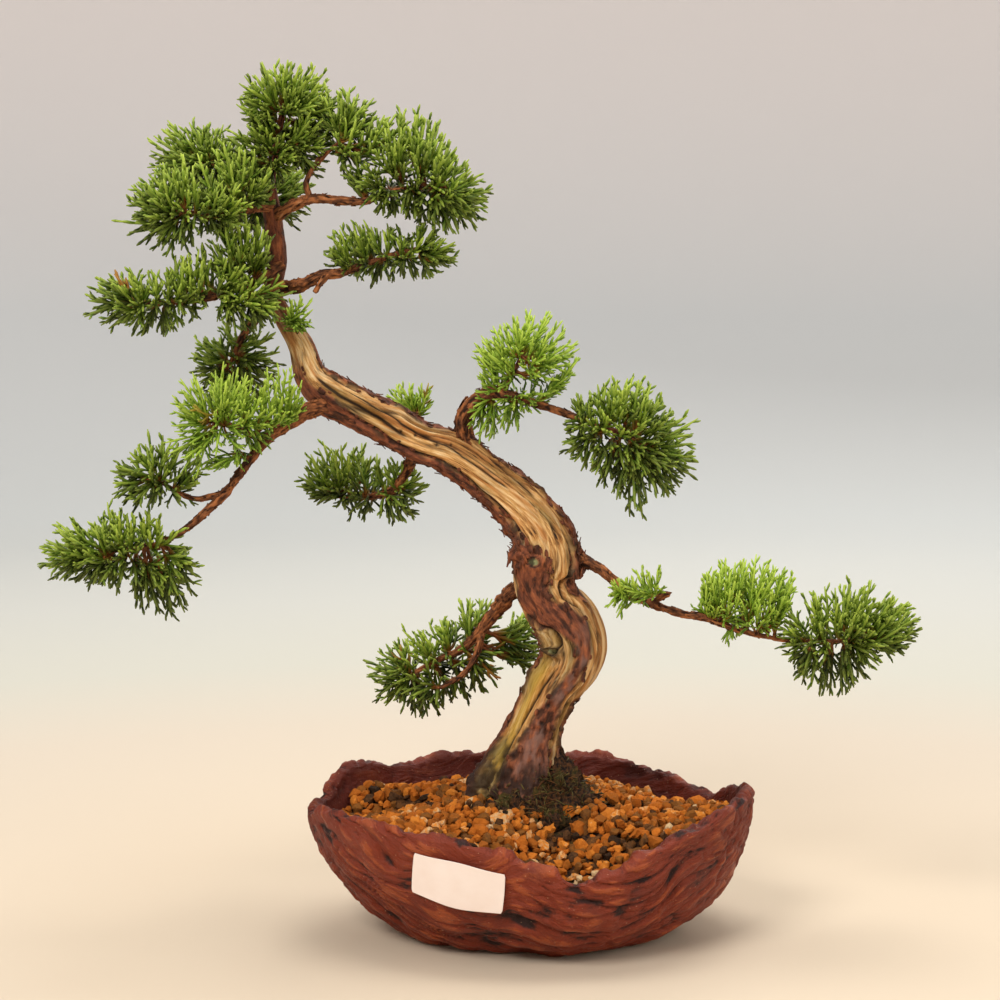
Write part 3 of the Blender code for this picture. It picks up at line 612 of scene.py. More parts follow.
@dataclass
class Bowl:
    """The carved bowl: a boat-shaped hull whose folds run from end to end, as on a seed pod."""

    half_length: float
    half_depth: float
    foot_half_length: float = 46.0
    foot_half_depth: float = 31.0
    wall: float = 5.5
    floor: float = 6.0
    lip_crown: float = 1.3
    pointed_end: float = 0.22
    pointed_spread: float = 32.0
    sides: int = 600
    outer_steps: int = 108
    lip_steps: int = 9
    inner_steps: int = 34
    leanness: float = 0.29  # how much leaner than a quarter ellipse the wall is at the far end
    fold_mm: float = 3.0  # depth of the big folds
    cut_mm: float = 2.2  # depth of the gouge cuts
    streak_mm: float = 0.7  # depth of the tool streaks
    label_at: tuple = (-29.5, -64.8, 32.5)  # the wall is rubbed flat there

    def rim_height(self, direction: Array) -> Array:
        """The height of the rim, eased by half cosines between RIM_HEIGHTS."""
        direction = direction % 360
        index = np.searchsorted(RIM_HEIGHTS[:, 0], direction, side="right") - 1
        index = np.clip(index, 0, len(RIM_HEIGHTS) - 2)
        low, high = RIM_HEIGHTS[index], RIM_HEIGHTS[index + 1]
        t = (direction - low[..., 0]) / (high[..., 0] - low[..., 0])
        return low[..., 1] + (high[..., 1] - low[..., 1]) * (1 - np.cos(np.pi * t)) / 2

    def plan(self, direction: Array, half_length: float, half_depth: float) -> tuple[Array, Array]:
        """The oval a cos d, b sin d, narrowed towards the pointed end by a Gaussian of the direction."""
        angle = np.radians(direction)
        turned = (direction + 180) % 360 - 180
        narrowing = 1 - self.pointed_end * np.exp(-((turned / self.pointed_spread) ** 2))
        return half_length * np.cos(angle), half_depth * np.sin(angle) * narrowing

    def wall_point(self, direction: Array, rise: Array, inset: float, floor: float) -> Array:
        """A point of the quarter-ellipse wall.

        It leaves the foot's outline level and meets the rim's upright: outwards it runs with sin(rise 90)^p,
        upwards with 1 - cos(rise 90)^p. The power p is 1 at the pointed end and 1 + leanness at the other.

        Args:
            direction: degrees round the bowl.
            rise: 0 at the foot, 1 at the rim.
            inset: how far inside the outer wall.
            floor: the height of the lowest point.

        Returns:
            Points in millimetres.
        """
        turn = rise * np.pi / 2
        foot_inset = 3.0 if inset else 0.0
        foot = self.plan(direction, self.foot_half_length - foot_inset, self.foot_half_depth - foot_inset)
        rim = self.plan(direction, self.half_length - inset, self.half_depth - inset)
        power = 1 + self.leanness * (1 - np.cos(np.radians(direction))) / 2
        share = np.sin(turn) ** power
        height = floor + (self.rim_height(direction) - floor) * (1 - np.maximum(np.cos(turn), 0) ** power)
        return stack(foot[0] + (rim[0] - foot[0]) * share, foot[1] + (rim[1] - foot[1]) * share, height)

    def flow(self, points: Array) -> tuple[Array, Array]:
        """Each point's meridian, and the same bent by a slow noise so that the carving wanders."""
        x, y, z = points[..., 0], points[..., 1], points[..., 2]
        meridian = np.arctan2(y, 66 - z)
        return meridian, meridian + 0.2 * fractal(stack(x / 34, meridian * 2, 0 * z), 2, 5) - 0.0022 * x

    def relief(self, points: Array) -> tuple[Array, Array]:
        """The carving: how far each point of the wall stands out, and its tone from cut (0) to ridge (1),
        which the material paints as shade in the cuts and as highlight on the ridges.

        The hull's meridians are the planes through its two ends, at angle m = atan(y / (66 - z)). Noises
        stretched along the meridians are taken as |n|^0.42, so that rounded ropes of clay lie between sharp
        cuts where n is 0. At the two ends, where the meridians meet, an even noise takes over.
        """
        x, z = points[..., 0], points[..., 2]
        meridian, m = self.flow(points)
        closing = np.sqrt(np.clip(1 - (x / (self.half_length + 5)) ** 2, 0.2, 1))
        rope = np.clip(np.abs(fractal(stack(m * 6.5, x / 40, 0 * x + 3.1), 2, 11)) * 3.2, 0, 1) ** 0.42
        gouge = np.clip(np.abs(fractal(stack(m * 14, x / 21, z / 90), 2, 23)) * 3.4, 0, 1) ** 0.42
        knuckles = np.clip(np.abs(fractal(points / [9, 9, 6], 2, 17)) * 3.2, 0, 1) ** 0.42
        end = ease(0.66, 0.9, np.abs(x) / self.half_length) * 0.85
        rope, gouge = rope + (knuckles - rope) * end, gouge + (knuckles - gouge) * end * 0.6
        streak = fractal(stack(m * 38, x / 8, z / 30), 3, 31)
        lumps = fractal(points / 11.0, 3, 47)
        flat = np.exp(-(np.linalg.norm((points - self.label_at) / [28, 28, 17], axis=-1) ** 6))
        smooth_band = ease(-0.95, -1.3, meridian) * ease(-60, -20, x) * 0.5
        carved = (1 - smooth_band) * (1 - 0.8 * flat)
        depth = self.fold_mm * (rope - 0.8) * carved + self.cut_mm * (gouge - 0.8) * carved
        depth = depth + (self.streak_mm * streak + 1.3 * lumps) * (1 - 0.8 * flat)
        # tone: painted shade where the clay is cut, painted highlight where it stands out
        tone = np.clip(0.5 * rope + 0.4 * gouge + 0.42 * streak + 0.3 * lumps - 0.06, 0, 1)
        return depth * closing, tone

    def surface(self) -> Surface:
        """The outer wall, rounded lip and inner wall as one closed grid, displaced along its normals."""
        direction = np.linspace(0, 360, self.sides, endpoint=False)[None, :]
        outer_rise = np.linspace(0, 1, self.outer_steps)[:, None]
        inner_rise = np.linspace(1, 0, self.inner_steps)[:, None]
        outer = self.wall_point(direction, outer_rise, 0.0, 0.0)
        inner = self.wall_point(direction, inner_rise, self.wall, self.floor)
        across = np.linspace(0, 1, self.lip_steps + 2)[1:-1, None, None]
        lip = outer[-1][None] + (inner[0] - outer[-1])[None] * across
        lip[..., 2] += self.lip_crown * np.sin(np.pi * across[..., 0])
        grid = np.concatenate([outer, lip, inner])
        depth, tone = self.relief(grid)
        drawn = stack(self.flow(grid)[1] * 60, grid[..., 0] * 0.24, grid[..., 2] * 0.24)
        along = np.gradient(grid, axis=0)
        around = (np.roll(grid, -1, axis=1) - np.roll(grid, 1, axis=1)) / 2
        normal = unit(np.cross(around, along))
        row = np.arange(len(grid))[:, None]
        inside = ease(self.outer_steps, self.outer_steps + self.lip_steps, row)
        foot_fade = ease(0.0, 0.2, np.concatenate([outer_rise, np.ones((self.lip_steps, 1)), inner_rise]))
        depth = depth * foot_fade * (1 - 0.5 * inside)
        lip_zone = np.exp(-(((row - self.outer_steps - self.lip_steps / 2) / 8.0) ** 2))
        waves = fractal(stack(grid[..., 0] / 15, grid[..., 1] / 15, grid[..., 2] * 0), 2, 59)
        nicks = fractal(stack(grid[..., 0] / 4.5, grid[..., 1] / 4.5, grid[..., 2] * 0), 3, 61)
        grid = grid + normal * (depth + lip_zone * nicks * 0.9)[..., None]
        grid[..., 2] += lip_zone * (nicks * 1.5 + waves * 2.0)
        grid[..., 2] = np.maximum(grid[..., 2], 0.0)
        inside = np.broadcast_to(inside, tone.shape)
        return tube_surface(grid[None], {"relief": tone[None], "drawn": drawn[None], "inside": inside[None]})

    def build(self) -> None:
        """Makes and dresses the bowl."""
        self.surface().piece("carved_bowl", Stoneware().material(), "stoneware", ("pot",))


# ================================================================ ground
BARE_PATCHES = ((34, -8, 17, 8), (8, -54, 12, 6), (14, -24, 9, 7))  # few granules: x, y and two radii


@dataclass
class Ground:
    """Granules, soil and humus inside the bowl."""

    bowl: Bowl
    crown: float = 60.0
    back_drop: float = 8.0
    front_drop: float = 1.5
    granules: int = 2300
    granule_mm: float = 4.4
    seed: int = 8

    def height(self, x: Array, y: Array) -> Array:
        """The height of the granules: half a cosine from the crown at the trunk to just below the rim."""
        b = self.bowl
        direction = np.degrees(np.arctan2(y / b.half_depth, x / b.half_length)) % 360
        edge_x, edge_y = b.plan(direction, b.half_length - b.wall - 4, b.half_depth - b.wall - 4)
        share = np.clip(np.hypot(x, y) / np.hypot(edge_x, edge_y), 0, 1)
        drop = self.back_drop + (self.front_drop - self.back_drop) * (1 - np.sin(np.radians(direction))) / 2
        edge = b.rim_height(direction) - drop
        return edge + (self.crown - edge) * (1 + np.cos(np.pi * share)) / 2

    def scatter(self, rng: np.random.Generator) -> tuple[Array, Array, Array]:
        """Darts thrown at the soil, each kept where it has room, in a lower and an upper layer.

        Returns:
            The granules' middles, their sizes, and 0 or 1 for their layer.
        """
        b = self.bowl
        count = self.granules * 9
        direction = rng.uniform(0, 360, count)
        share = np.sqrt(rng.uniform(0.02, 1.0, count))
        edge_x, edge_y = b.plan(direction, b.half_length - b.wall - 4.5, b.half_depth - b.wall - 4.5)
        x, y = edge_x * share, edge_y * share
        size = self.granule_mm * np.clip(rng.lognormal(0.0, 0.33, count), 0.5, 1.8)
        layer = (np.arange(count) > count * 0.45).astype(int)
        bare = sum(
            np.exp(-(((x - at_x) / wide) ** 2 + ((y - at_y) / deep) ** 2))
            for at_x, at_y, wide, deep in BARE_PATCHES
        )
        mound = ((x - 2) / 25) ** 2 + ((y + 1) / 20) ** 2 > 1.0
        wanted = mound & (rng.uniform(0, 1, count) > bare * 1.3)
        chosen: list[int] = []
        grid: dict[tuple[int, int, int], list[int]] = {}
        for k in np.flatnonzero(wanted):
            column, row, level = int(x[k] // 7), int(y[k] // 7), int(layer[k])
            around = itertools.product((-1, 0, 1), repeat=2)
            near = [m for i, j in around for m in grid.get((column + i, row + j, level), [])]
            if all(math.hypot(x[k] - x[m], y[k] - y[m]) > 0.39 * (size[k] + size[m]) for m in near):
                chosen.append(k)
                grid.setdefault((column, row, level), []).append(k)
            if len(chosen) == self.granules:
                break
        pick = np.array(chosen)
        x, y, size, layer = x[pick], y[pick], size[pick], layer[pick]
        z = self.height(x, y) - 0.45 * size - 2.3 * (1 - layer) + rng.normal(0, 0.35, len(pick))
        return np.stack([x, y, z], -1), size, layer

    def granule_surface(self) -> Surface:
        """Granules as broken pebbles.

        Each is a sphere cut by nine random planes: in a direction v its reach is the least d / (v . n) over
        the planes with normal n and distance d, then it is stretched and roughened by a noise of its own.
        """
        rng = np.random.default_rng(self.seed)
        middles, size, layer = self.scatter(rng)
        count = len(size)
        ball, faces = icosphere()
        turn = random_turns(rng, count)
        stretch = rng.uniform(0.72, 1.2, (count, 1, 3))
        facing = np.einsum("gkc,vc->gvk", unit(rng.normal(size=(count, 9, 3))), ball)
        cuts = rng.uniform(0.52, 0.92, (count, 1, 9)) / np.maximum(facing, 1e-3)
        broken = np.minimum(np.where(facing > 0.05, cuts, 9.0).min(axis=2), 1.08)
        lumps = fractal(ball[None] * 1.6 + rng.uniform(0, 90, (count, 1, 3)), 2, 71)
        shapes = ball[None] * stretch * (broken * (1.16 + 0.5 * lumps))[..., None]
        shapes = np.einsum("nij,nkj->nki", turn, shapes) * (size / 2)[:, None, None]
        points = shapes + middles[:, None]
        x, y = middles[:, 0], middles[:, 1]
        fields = fractal(stack(x / 22, y / 22, 0 * x), 2, 73)
        # the lower layer is 0.05 darker: painted shade under the upper granules
        tone = np.clip(rng.beta(1.7, 1.3, count) + 0.2 * fields + 0.05 * (layer - 1), 0, 0.94)
        pale = (np.hypot((x - 12) / 1.6, y + 60) < 11) & (rng.uniform(0, 1, count) < 0.4)
        tone = np.where(pale | (rng.uniform(0, 1, count) < 0.006), 1.0, tone)
        steps = (np.arange(count) * len(ball))[:, None, None]
        triangles = (faces[None] + steps).reshape(-1, 3)
        tones = {"tone": np.repeat(tone, len(ball))}
        return Surface(points.reshape(-1, 3), np.zeros((0, 4), int), triangles, tones)

    def mound_surface(self) -> Surface:
        """The humus mound: it climbs the trunk's foot, falls off with (1 - share)^1.3, and is rough."""
        rings, sides = 90, 210
        share = np.linspace(0.02, 1, rings)[::-1, None]
        around = np.linspace(0, 2 * np.pi, sides, endpoint=False)[None, :]
        spread = 1 + 0.45 * np.exp(-(((around + 0.35) % (2 * np.pi) - np.pi * 2 * (around > 5)) / 0.5) ** 2)
        spread = spread + 0.08 * np.sin(3 * around + 1)
        x = 1 + 29 * spread * share * np.cos(around)
        y = -1 + 25 * spread * share * np.sin(around)
        z = 52.0 + 33.0 * (1 - share) ** 1.3
        base = stack(x, y, z)
        rough = fractal(base / 10.0, 3, 83) * 5.0 + np.abs(fractal(base / 2.4, 3, 87)) * 3.2
        points = base + UP * rough[..., None] + unit(base - [1, -1, 40]) * rough[..., None] * 0.4
        under = points[:1] * [1, 1, 0] + [0, 0, 47.0]
        return tube_surface(np.concatenate([under, points])[None], {})

    def litter_surface(self, count: int = 900) -> Surface:
        """Dry moss and dead leaf cords: short bent fibres scattered over the mound."""
        rng = np.random.default_rng(self.seed + 1)
        around = rng.uniform(0, 2 * np.pi, count)
        share = rng.uniform(0.34, 1.04, count)
        x, y = 2 + 30 * share * np.cos(around), -1 + 26 * share * np.sin(around)
        z = 53.0 + 33.0 * np.clip(1 - share, 0, 1) ** 1.3
        start = np.stack([x, y, z], -1)
        way = unit(rng.normal(size=(count, 3)) * [1, 1, 0.55] + [0, 0, 0.35])
        size = rng.uniform(1.5, 6.0, (count, 1))
        end = start + way * size + rng.normal(0, 0.6, (count, 3))
        middle = (start + end) / 2 + rng.normal(0, 0.8, (count, 3)) + [0, 0, 0.8]
        plane = unit(rng.normal(size=(count, 3)))
        radius, age, stem = (rng.uniform(*limits, count) for limits in ((0.14, 0.34), (0.1, 0.8), (0, 0.9)))
        dead = (rng.uniform(0, 1, count) < 0.3) * 0.8
        fibres = Shoots(start, middle, end, plane, radius, age, stem, dead)
        return fibres.surface(4, 4)

    def build(self) -> None:
        """Makes the granules and the mound, and dresses the soil."""
        humus = Humus().material()
        clay, crease = Akadama().material(), math.radians(24)
        self.granule_surface().piece("akadama_granules", clay, "akadama", ("akadama_dressing",), crease)
        self.mound_surface().piece("humus_mound", humus, "moss", ("moss_mound",))
        moss = ScaleLeaf("dry_moss", "#1c1806", "#39340f", "#5c5220", "#77683a", "#4a2f16", "#5f3616", 0.6)
        self.litter_surface().piece("moss_litter", moss.material(), "moss")
        # the soil under the granules is near black: painted shade in the gaps between them
        dress("soil", humus)


def icosphere() -> tuple[Array, Array]:
    """A sphere of 42 points and 80 triangles: an icosahedron whose edges are halved once.

    Returns:
        Unit points, and triangles facing outwards.
    """
    g = (1 + 5**0.5) / 2
    points = [
        (-1, g, 0), (1, g, 0), (-1, -g, 0), (1, -g, 0), (0, -1, g), (0, 1, g),
        (0, -1, -g), (0, 1, -g), (g, 0, -1), (g, 0, 1), (-g, 0, -1), (-g, 0, 1),
    ]
    faces = [
        (0, 11, 5), (0, 5, 1), (0, 1, 7), (0, 7, 10), (0, 10, 11), (1, 5, 9), (5, 11, 4), (11, 10, 2),
        (10, 7, 6), (7, 1, 8), (3, 9, 4), (3, 4, 2), (3, 2, 6), (3, 6, 8), (3, 8, 9), (4, 9, 5),
        (2, 4, 11), (6, 2, 10), (8, 6, 7), (9, 8, 1),
    ]
    halves: dict[tuple[int, int], int] = {}
    finer = []
    for a, b, c in faces:
        middles = []
        for i, j in ((a, b), (b, c), (c, a)):
            key = (min(i, j), max(i, j))
            if key not in halves:
                halves[key] = len(points)
                points.append(tuple((p + q) / 2 for p, q in zip(points[i], points[j])))
            middles.append(halves[key])
        ab, bc, ca = middles
        finer += [(a, ab, ca), (b, bc, ab), (c, ca, bc), (ab, bc, ca)]
    return unit(np.array(points, float)), np.array(finer)


def random_turns(rng: np.random.Generator, count: int) -> Array:
    """Random rotation matrices, from unit quaternions drawn evenly."""
    w, x, y, z = unit(rng.normal(size=(count, 4))).T
    rows = [
        [1 - 2 * (y * y + z * z), 2 * (x * y - z * w), 2 * (x * z + y * w)],
        [2 * (x * y + z * w), 1 - 2 * (x * x + z * z), 2 * (y * z - x * w)],
        [2 * (x * z - y * w), 2 * (y * z + x * w), 1 - 2 * (x * x + y * y)],
    ]
    return np.moveaxis(np.array(rows), -1, 0)


def dress(node: str, material: bpy.types.Material) -> None:
    """Gives a CAD node that stays visible its material."""
    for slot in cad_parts[node].material_slots:
        slot.material = material


@dataclass
class StemGrid:
    """A grid on the skin of a round stem: a row for each point of its route, a column for each angle.

    Its noise cells turn with the twist, and keep to a least radius so that they do not crowd where it is
    thin.
    """

    route: Array
    angle: Array
    reference: Array
    twist: float = 0.0
    least: float = 0.0
    shift: float = 0.0

    def __post_init__(self) -> None:
        """Works out the grid's coordinates and directions."""
        self.along = route_length(self.route)[:, None]
        self.radius = self.route[:, 3][:, None]
        self.thin = np.minimum(np.clip(self.radius / 10.0, 0.16, 1.25), 1.0)
        self.tangent, across, side = cross_frames(self.route[:, :3], self.reference)
        cosine, sine = np.cos(self.angle)[..., None], np.sin(self.angle)[..., None]
        self.outward = across[:, None] * cosine + side[:, None] * sine
        self.relief = self.dark = np.zeros(self.outward.shape[:2])

    def cells(self, across: float, length: float) -> Array:
        """Places on the stem, divided by a size across it and a length along it."""
        drum, turned = np.maximum(self.radius, self.least), self.angle + self.twist * self.along
        x, y = drum * np.cos(turned) + self.shift, drum * np.sin(turned)
        return stack(x / across, y / across, self.along / length)

    def darken(self, shade: Array) -> None:
        """Makes the skin at least this dark."""
        self.dark = np.maximum(self.dark, shade)

    def points(self) -> Array:
        """The skin's points: the radius and relief from the route."""
        return self.route[:, None, :3] + self.outward * (self.radius + self.relief)[..., None]


def turn_between(degrees: Array, middle: Array) -> Array:
    """How far an angle is past another one, from -180 to 180 degrees."""
    return (degrees - middle + 180) % 360 - 180


# ================================================================ trunk
class Mark(Enum):
    """What stands on the trunk's surface."""

    KNOB = "a rounded swelling where the wood grew over"
    STUB = "a pruned branch: a raised ring round a pale cut"
    SCAR = "a flat healed cut with a thin lip"
    HOLE = "a small dark insect hole"


@dataclass(frozen=True)
class Feature:
    """One mark at a place on the trunk."""

    kind: Mark
    along: float
    angle: float
    radius: float
    height: float


def flake_surface(
    rng: np.random.Generator, places: Array, normals: Array, runs: Array, sizes: Array
) -> Surface:
    """Loose flakes of bark, each a thin bent leaf with one end grown in and the other standing off.

    Args:
        rng: the source of randomness.
        places: where the flakes sit, in millimetres.
        normals: the skin's outward direction at each place.
        runs: the direction of the wood at each place.
        sizes: how large each is, 1 for a flake 1.5 to 5 mm long.

    Returns:
        The flakes, without attributes.
    """
    count = len(places)
    t = np.linspace(0, 1, 4)[None, :, None]
    sense = np.where(rng.uniform(0, 1, (count, 1, 1)) < 0.5, 1.0, -1.0)
    length = (rng.uniform(1.5, 5.0, count) * sizes)[:, None, None]
    lift = (rng.uniform(0.1, 1.0, count) * sizes)[:, None, None]
    run, out = unit(runs + rng.normal(0, 0.12, (count, 3)))[:, None], normals[:, None]
    centre = places[:, None] + run * sense * length * (t - 0.3) + out * (0.1 + lift * t**1.6)
    side = np.cross(out, run)
    width = (rng.uniform(0.6, 1.6, count) * sizes)[:, None, None]
    width = width * np.array([0.7, 1.0, 0.9, 0.55])[None, :, None]
    turn = np.linspace(0, 2 * np.pi, 6, endpoint=False) + 0.5
    ring = side[:, :, None] * np.cos(turn)[:, None] * width[..., None]
    ring = ring + out[:, :, None] * (np.sin(turn) * 0.22)[:, None] * sense[..., None]
    return tube_surface(centre[:, :, None] + ring, {})


@dataclass
class Trunk:
    """The trunk: a fluted, twisted tube with strips of bark, splits, knobs and scars."""

    stations: Array = field(default_factory=lambda: np.array([
        (-5, 1, 40, 11), (-6, 1, 50, 15.5), (-5, 1, 59, 16.5), (-3, 0, 70, 14), (2, 0, 86, 11.4),
        (9, -1, 101, 11), (16, -2, 112, 12.3), (18, -2, 121, 12.8), (15, -1, 130, 12.4),
        (9, 1, 138, 11.2), (5, 2, 147, 11.2), (6, 2, 157, 12.8), (4, 2, 167, 11.4), (-4, 2, 178, 9.8),
        (-17, 1, 189, 8.8), (-32, 0, 200, 8.8), (-46, 0, 205, 7.7), (-64, 0, 215, 8), (-80, 0, 224, 7.2),
        (-90, 1, 232, 6), (-95, 2, 245, 4.8), (-101, 2, 255, 3.9), (-106, 2, 266, 3.4),
        (-104, 2, 280, 3.7), (-106, 3, 298, 3.5), (-107, 3, 312, 2.3), (-104, 3, 328, 1.7),
        (-101, 2, 342, 1.1),
    ], dtype=float))
    # strips of living bark: distance along, middle angle, half width
    bark_strips: tuple = (
        ((15, 12, 62), (32, 8, 40), (48, 8, 24), (64, 9, 15), (77, 10, 11), (86, 14, 13), (93, 5, 27),
         (100, -18, 38), (107, -32, 36), (116, -20, 34), (127, -38, 40), (136, -60, 26), (150, -66, 24),
         (185, -62, 24), (215, -62, 30), (240, -50, 44), (252, -70, 50)),
        ((130, 88, 16), (150, 92, 14), (190, 88, 16), (230, 88, 18), (262, 90, 30)),
        ((103, 66, 10), (109, 66, 20), (118, 76, 24), (128, 86, 22)),
        ((18, -94, 24), (50, -92, 16), (76, -86, 18), (96, -82, 14)),
        ((18, 84, 26), (45, 82, 22), (62, 76, 12)),
        ((15, 180, 60), (60, 185, 40), (110, 170, 46), (170, 185, 55), (230, 180, 60)),
    )
    features: tuple = (
        Feature(Mark.STUB, 83, -42, 4.2, 3.0), Feature(Mark.SCAR, 125, -20, 4.0, 0.7),
        Feature(Mark.SCAR, 122, 12, 1.9, 0.5), Feature(Mark.KNOB, 122, 84, 7.5, 3.4),
        Feature(Mark.KNOB, 116, 60, 5.0, 1.2), Feature(Mark.KNOB, 97, 60, 6.0, 0.9),
        Feature(Mark.KNOB, 128, -60, 6.0, 2.4), Feature(Mark.KNOB, 66, -70, 6.0, 1.2),
        Feature(Mark.KNOB, 242, -68, 7.0, 2.0), Feature(Mark.KNOB, 213, 70, 6.0, 1.2),
        Feature(Mark.KNOB, 44, 150, 7.0, 2.2), Feature(Mark.STUB, 96, 165, 4.0, 2.4),
        Feature(Mark.SCAR, 160, 170, 3.6, 0.9), Feature(Mark.HOLE, 193, 10, 0.9, 1.2),
        Feature(Mark.HOLE, 203, 16, 0.8, 1.0), Feature(Mark.HOLE, 209, 4, 0.8, 1.0),
        Feature(Mark.HOLE, 188, 22, 0.6, 0.8), Feature(Mark.HOLE, 52, 6, 1.0, 0.7),
        Feature(Mark.HOLE, 60, 2, 1.2, 0.8),
    )
    # long splits in the wood: half width, depth, and their places as distance along and angle
    splits: tuple = (
        (1.0, 2.6, ((78, -48), (84, -34), (90, -26), (97, -34), (104, -62), (112, -80))),
        (0.9, 2.4, ((88, 36), (96, 44), (104, 26), (111, 34), (118, 48), (126, 56), (134, 50))),
        (1.1, 2.6, ((206, -2), (216, 4), (226, 10), (238, 6), (250, 18))),
        (0.8, 1.6, ((140, -34), (160, -40), (184, -36), (208, -34), (232, -22))),
        (0.7, 1.3, ((150, 52), (176, 56), (200, 48), (226, 50), (246, 60))),
        (0.8, 1.5, ((30, -46), (46, -38), (62, -30), (74, -28))),
        (0.7, 1.2, ((36, 44), (52, 42), (68, 34), (80, 44), (90, 62))),
        (0.6, 1.0, ((160, 16), (182, 8), (206, 26), (236, 34))),
        (0.9, 1.8, ((40, 122), (70, 130), (100, 118), (140, 128), (190, 124), (236, 130))),
        (0.9, 1.8, ((40, -126), (74, -120), (110, -132), (150, -122), (200, -128), (240, -120))),
        (0.7, 1.3, ((60, 160), (100, 205), (150, 150), (210, 160))),
    )
    ring_mm: float = 0.72
    sides: int = 150
    twist: float = 0.006  # radians per millimetre
    flakes: int = 620
    seed: int = 3

    def strip_mask(self, along: Array, degrees: Array) -> tuple[Array, Array]:
        """How far each point lies in a bark strip, and how near it is to a strip's edge."""
        inside = np.zeros(np.broadcast(along, degrees).shape)
        edge = np.zeros_like(inside)
        angle = np.radians(degrees)
        wobble = 7 * fractal(stack(along / 9, np.cos(angle) * 1.5, np.sin(angle) * 1.5), 3, 91)
        for strip in self.bark_strips:
            places, middles, halves = np.array(strip, float).T
            middle = np.interp(along, places, middles)
            half = np.interp(along, places, halves)
            ends = ease(places[0] - 14, places[0], along) * (1 - ease(places[-1], places[-1] + 14, along))
            off = np.abs(turn_between(degrees, middle)) + wobble
            inside = np.maximum(inside, (1 - ease(-5.0, 5.0, off - half)) * ends)
            edge = np.maximum(edge, np.exp(-(((off - half) / 7.0) ** 2)) * ends)
        top = ease(262, 292, along + wobble)
        return np.maximum(inside, top), edge * (1 - top)

    def weather(self, skin: StemGrid, bark: Array, edge: Array, plates: Array) -> None:
        """Broad flutes, thin fibre splits that follow the twist, and raised bark broken into plates."""
        size = np.clip(skin.radius / 10.0, 0.16, 1.25)
        flutes = fractal(skin.cells(7.5, 46), 2, 101) * 1.7
        deep = 0.4 + 0.6 * ease(-0.2, 0.35, fractal(skin.cells(8, 55), 2, 103))
        fibres = creases(skin.cells(3.4, 52), 2, 107, 0.07) * deep
        threads = creases(skin.cells(1.5, 26), 2, 113, 0.13) * deep
        chips = np.round(plates * 3.2) / 3.2 * 0.7 + plates * 0.3
        relief = flutes * size - (1.0 * fibres + 0.4 * threads) * (1 - 0.8 * bark) * skin.thin
        relief = relief + bark * (0.7 + 0.8 * chips) * skin.thin + 0.2 * plates * size
        skin.relief = relief + edge * ease(0.0, 0.5, plates) * 1.1 * skin.thin
        skin.dark = np.clip(0.8 * fibres + 0.3 * threads, 0, 1) * (1 - 0.75 * bark)
        skin.darken(edge * ease(0.1, 0.5, plates + 0.25) * 0.85)
        skin.darken(bark * ease(-0.2, -0.42, plates) * 0.8)

    def cleave(self, skin: StemGrid, degrees: Array) -> None:
        """The long splits, each a groove between two low lips."""
        for half, depth, places in self.splits:
            marks, angles = np.array(places, float).T
            middle = np.interp(skin.along, marks, angles)
            ends = ease(marks[0] - 6, marks[0] + 4, skin.along)
            ends = ends * (1 - ease(marks[-1] - 4, marks[-1] + 6, skin.along))
            off = np.radians(turn_between(degrees, middle)) * skin.radius
            off = off + 0.5 * fractal(stack(skin.along / 7, 0 * off, 0 * off + half), 2, 131)
            line = np.exp(-((off / half) ** 2)) * ends
            lips = np.exp(-(((np.abs(off) - 2.4 * half) / half) ** 2)) * ends
            skin.relief = skin.relief - depth * line * skin.thin + 0.5 * lips
            skin.darken(ease(0.35, 0.9, line) * 0.95)

    def mark(self, skin: StemGrid, degrees: Array, plates: Array) -> Array:
        """The knobs, holes, stubs and scars.

        Returns:
            Where the wood of a cut is bare.
        """
        cut = np.zeros_like(skin.relief)
        for mark in self.features:
            off = np.radians(turn_between(degrees, mark.angle)) * skin.radius
            distance = np.hypot(skin.along - mark.along, off) / mark.radius
            if mark.kind is Mark.KNOB:
                skin.relief = skin.relief + mark.height * np.exp(-(distance**2)) * (1 + 0.35 * plates)
            elif mark.kind is Mark.HOLE:
                hole = np.exp(-(distance**4))
                skin.relief = skin.relief - mark.height * hole
                skin.darken(hole)
            else:
                ring = np.exp(-(((distance - 0.8) / 0.22) ** 2))
                swelling = 0.5 * (1 - ease(0.7, 1.2, distance)) + 0.7 * ring
                skin.relief = skin.relief + mark.height * swelling
                heavy = 0.24 if mark.kind is Mark.STUB else 0.1
                skin.darken(0.95 * np.exp(-(((distance - 0.6 - heavy / 2) / heavy) ** 2)))
                cut = np.maximum(cut, 1 - ease(0.4, 0.52, distance))
        return cut

    def root(self, skin: StemGrid, plates: Array) -> None:
        """The root flare, and the clods that cling to the foot."""
        flare = 1 - ease(12, 40, skin.along)
        skin.relief = skin.relief + flare * (
            1.2 + 2.6 * np.cos(3 * (skin.angle - 0.5)) + 1.2 * np.cos(5 * skin.angle + 1)
        )
        foot = 1 - ease(27, 44, skin.along + 12 * plates)
        clods = fractal(skin.cells(3.2, 3.6), 3, 151)
        skin.relief = skin.relief + foot * 2.4 * np.abs(clods)
        skin.darken(foot * (0.9 - 0.75 * ease(0.05, 0.4, clods)))

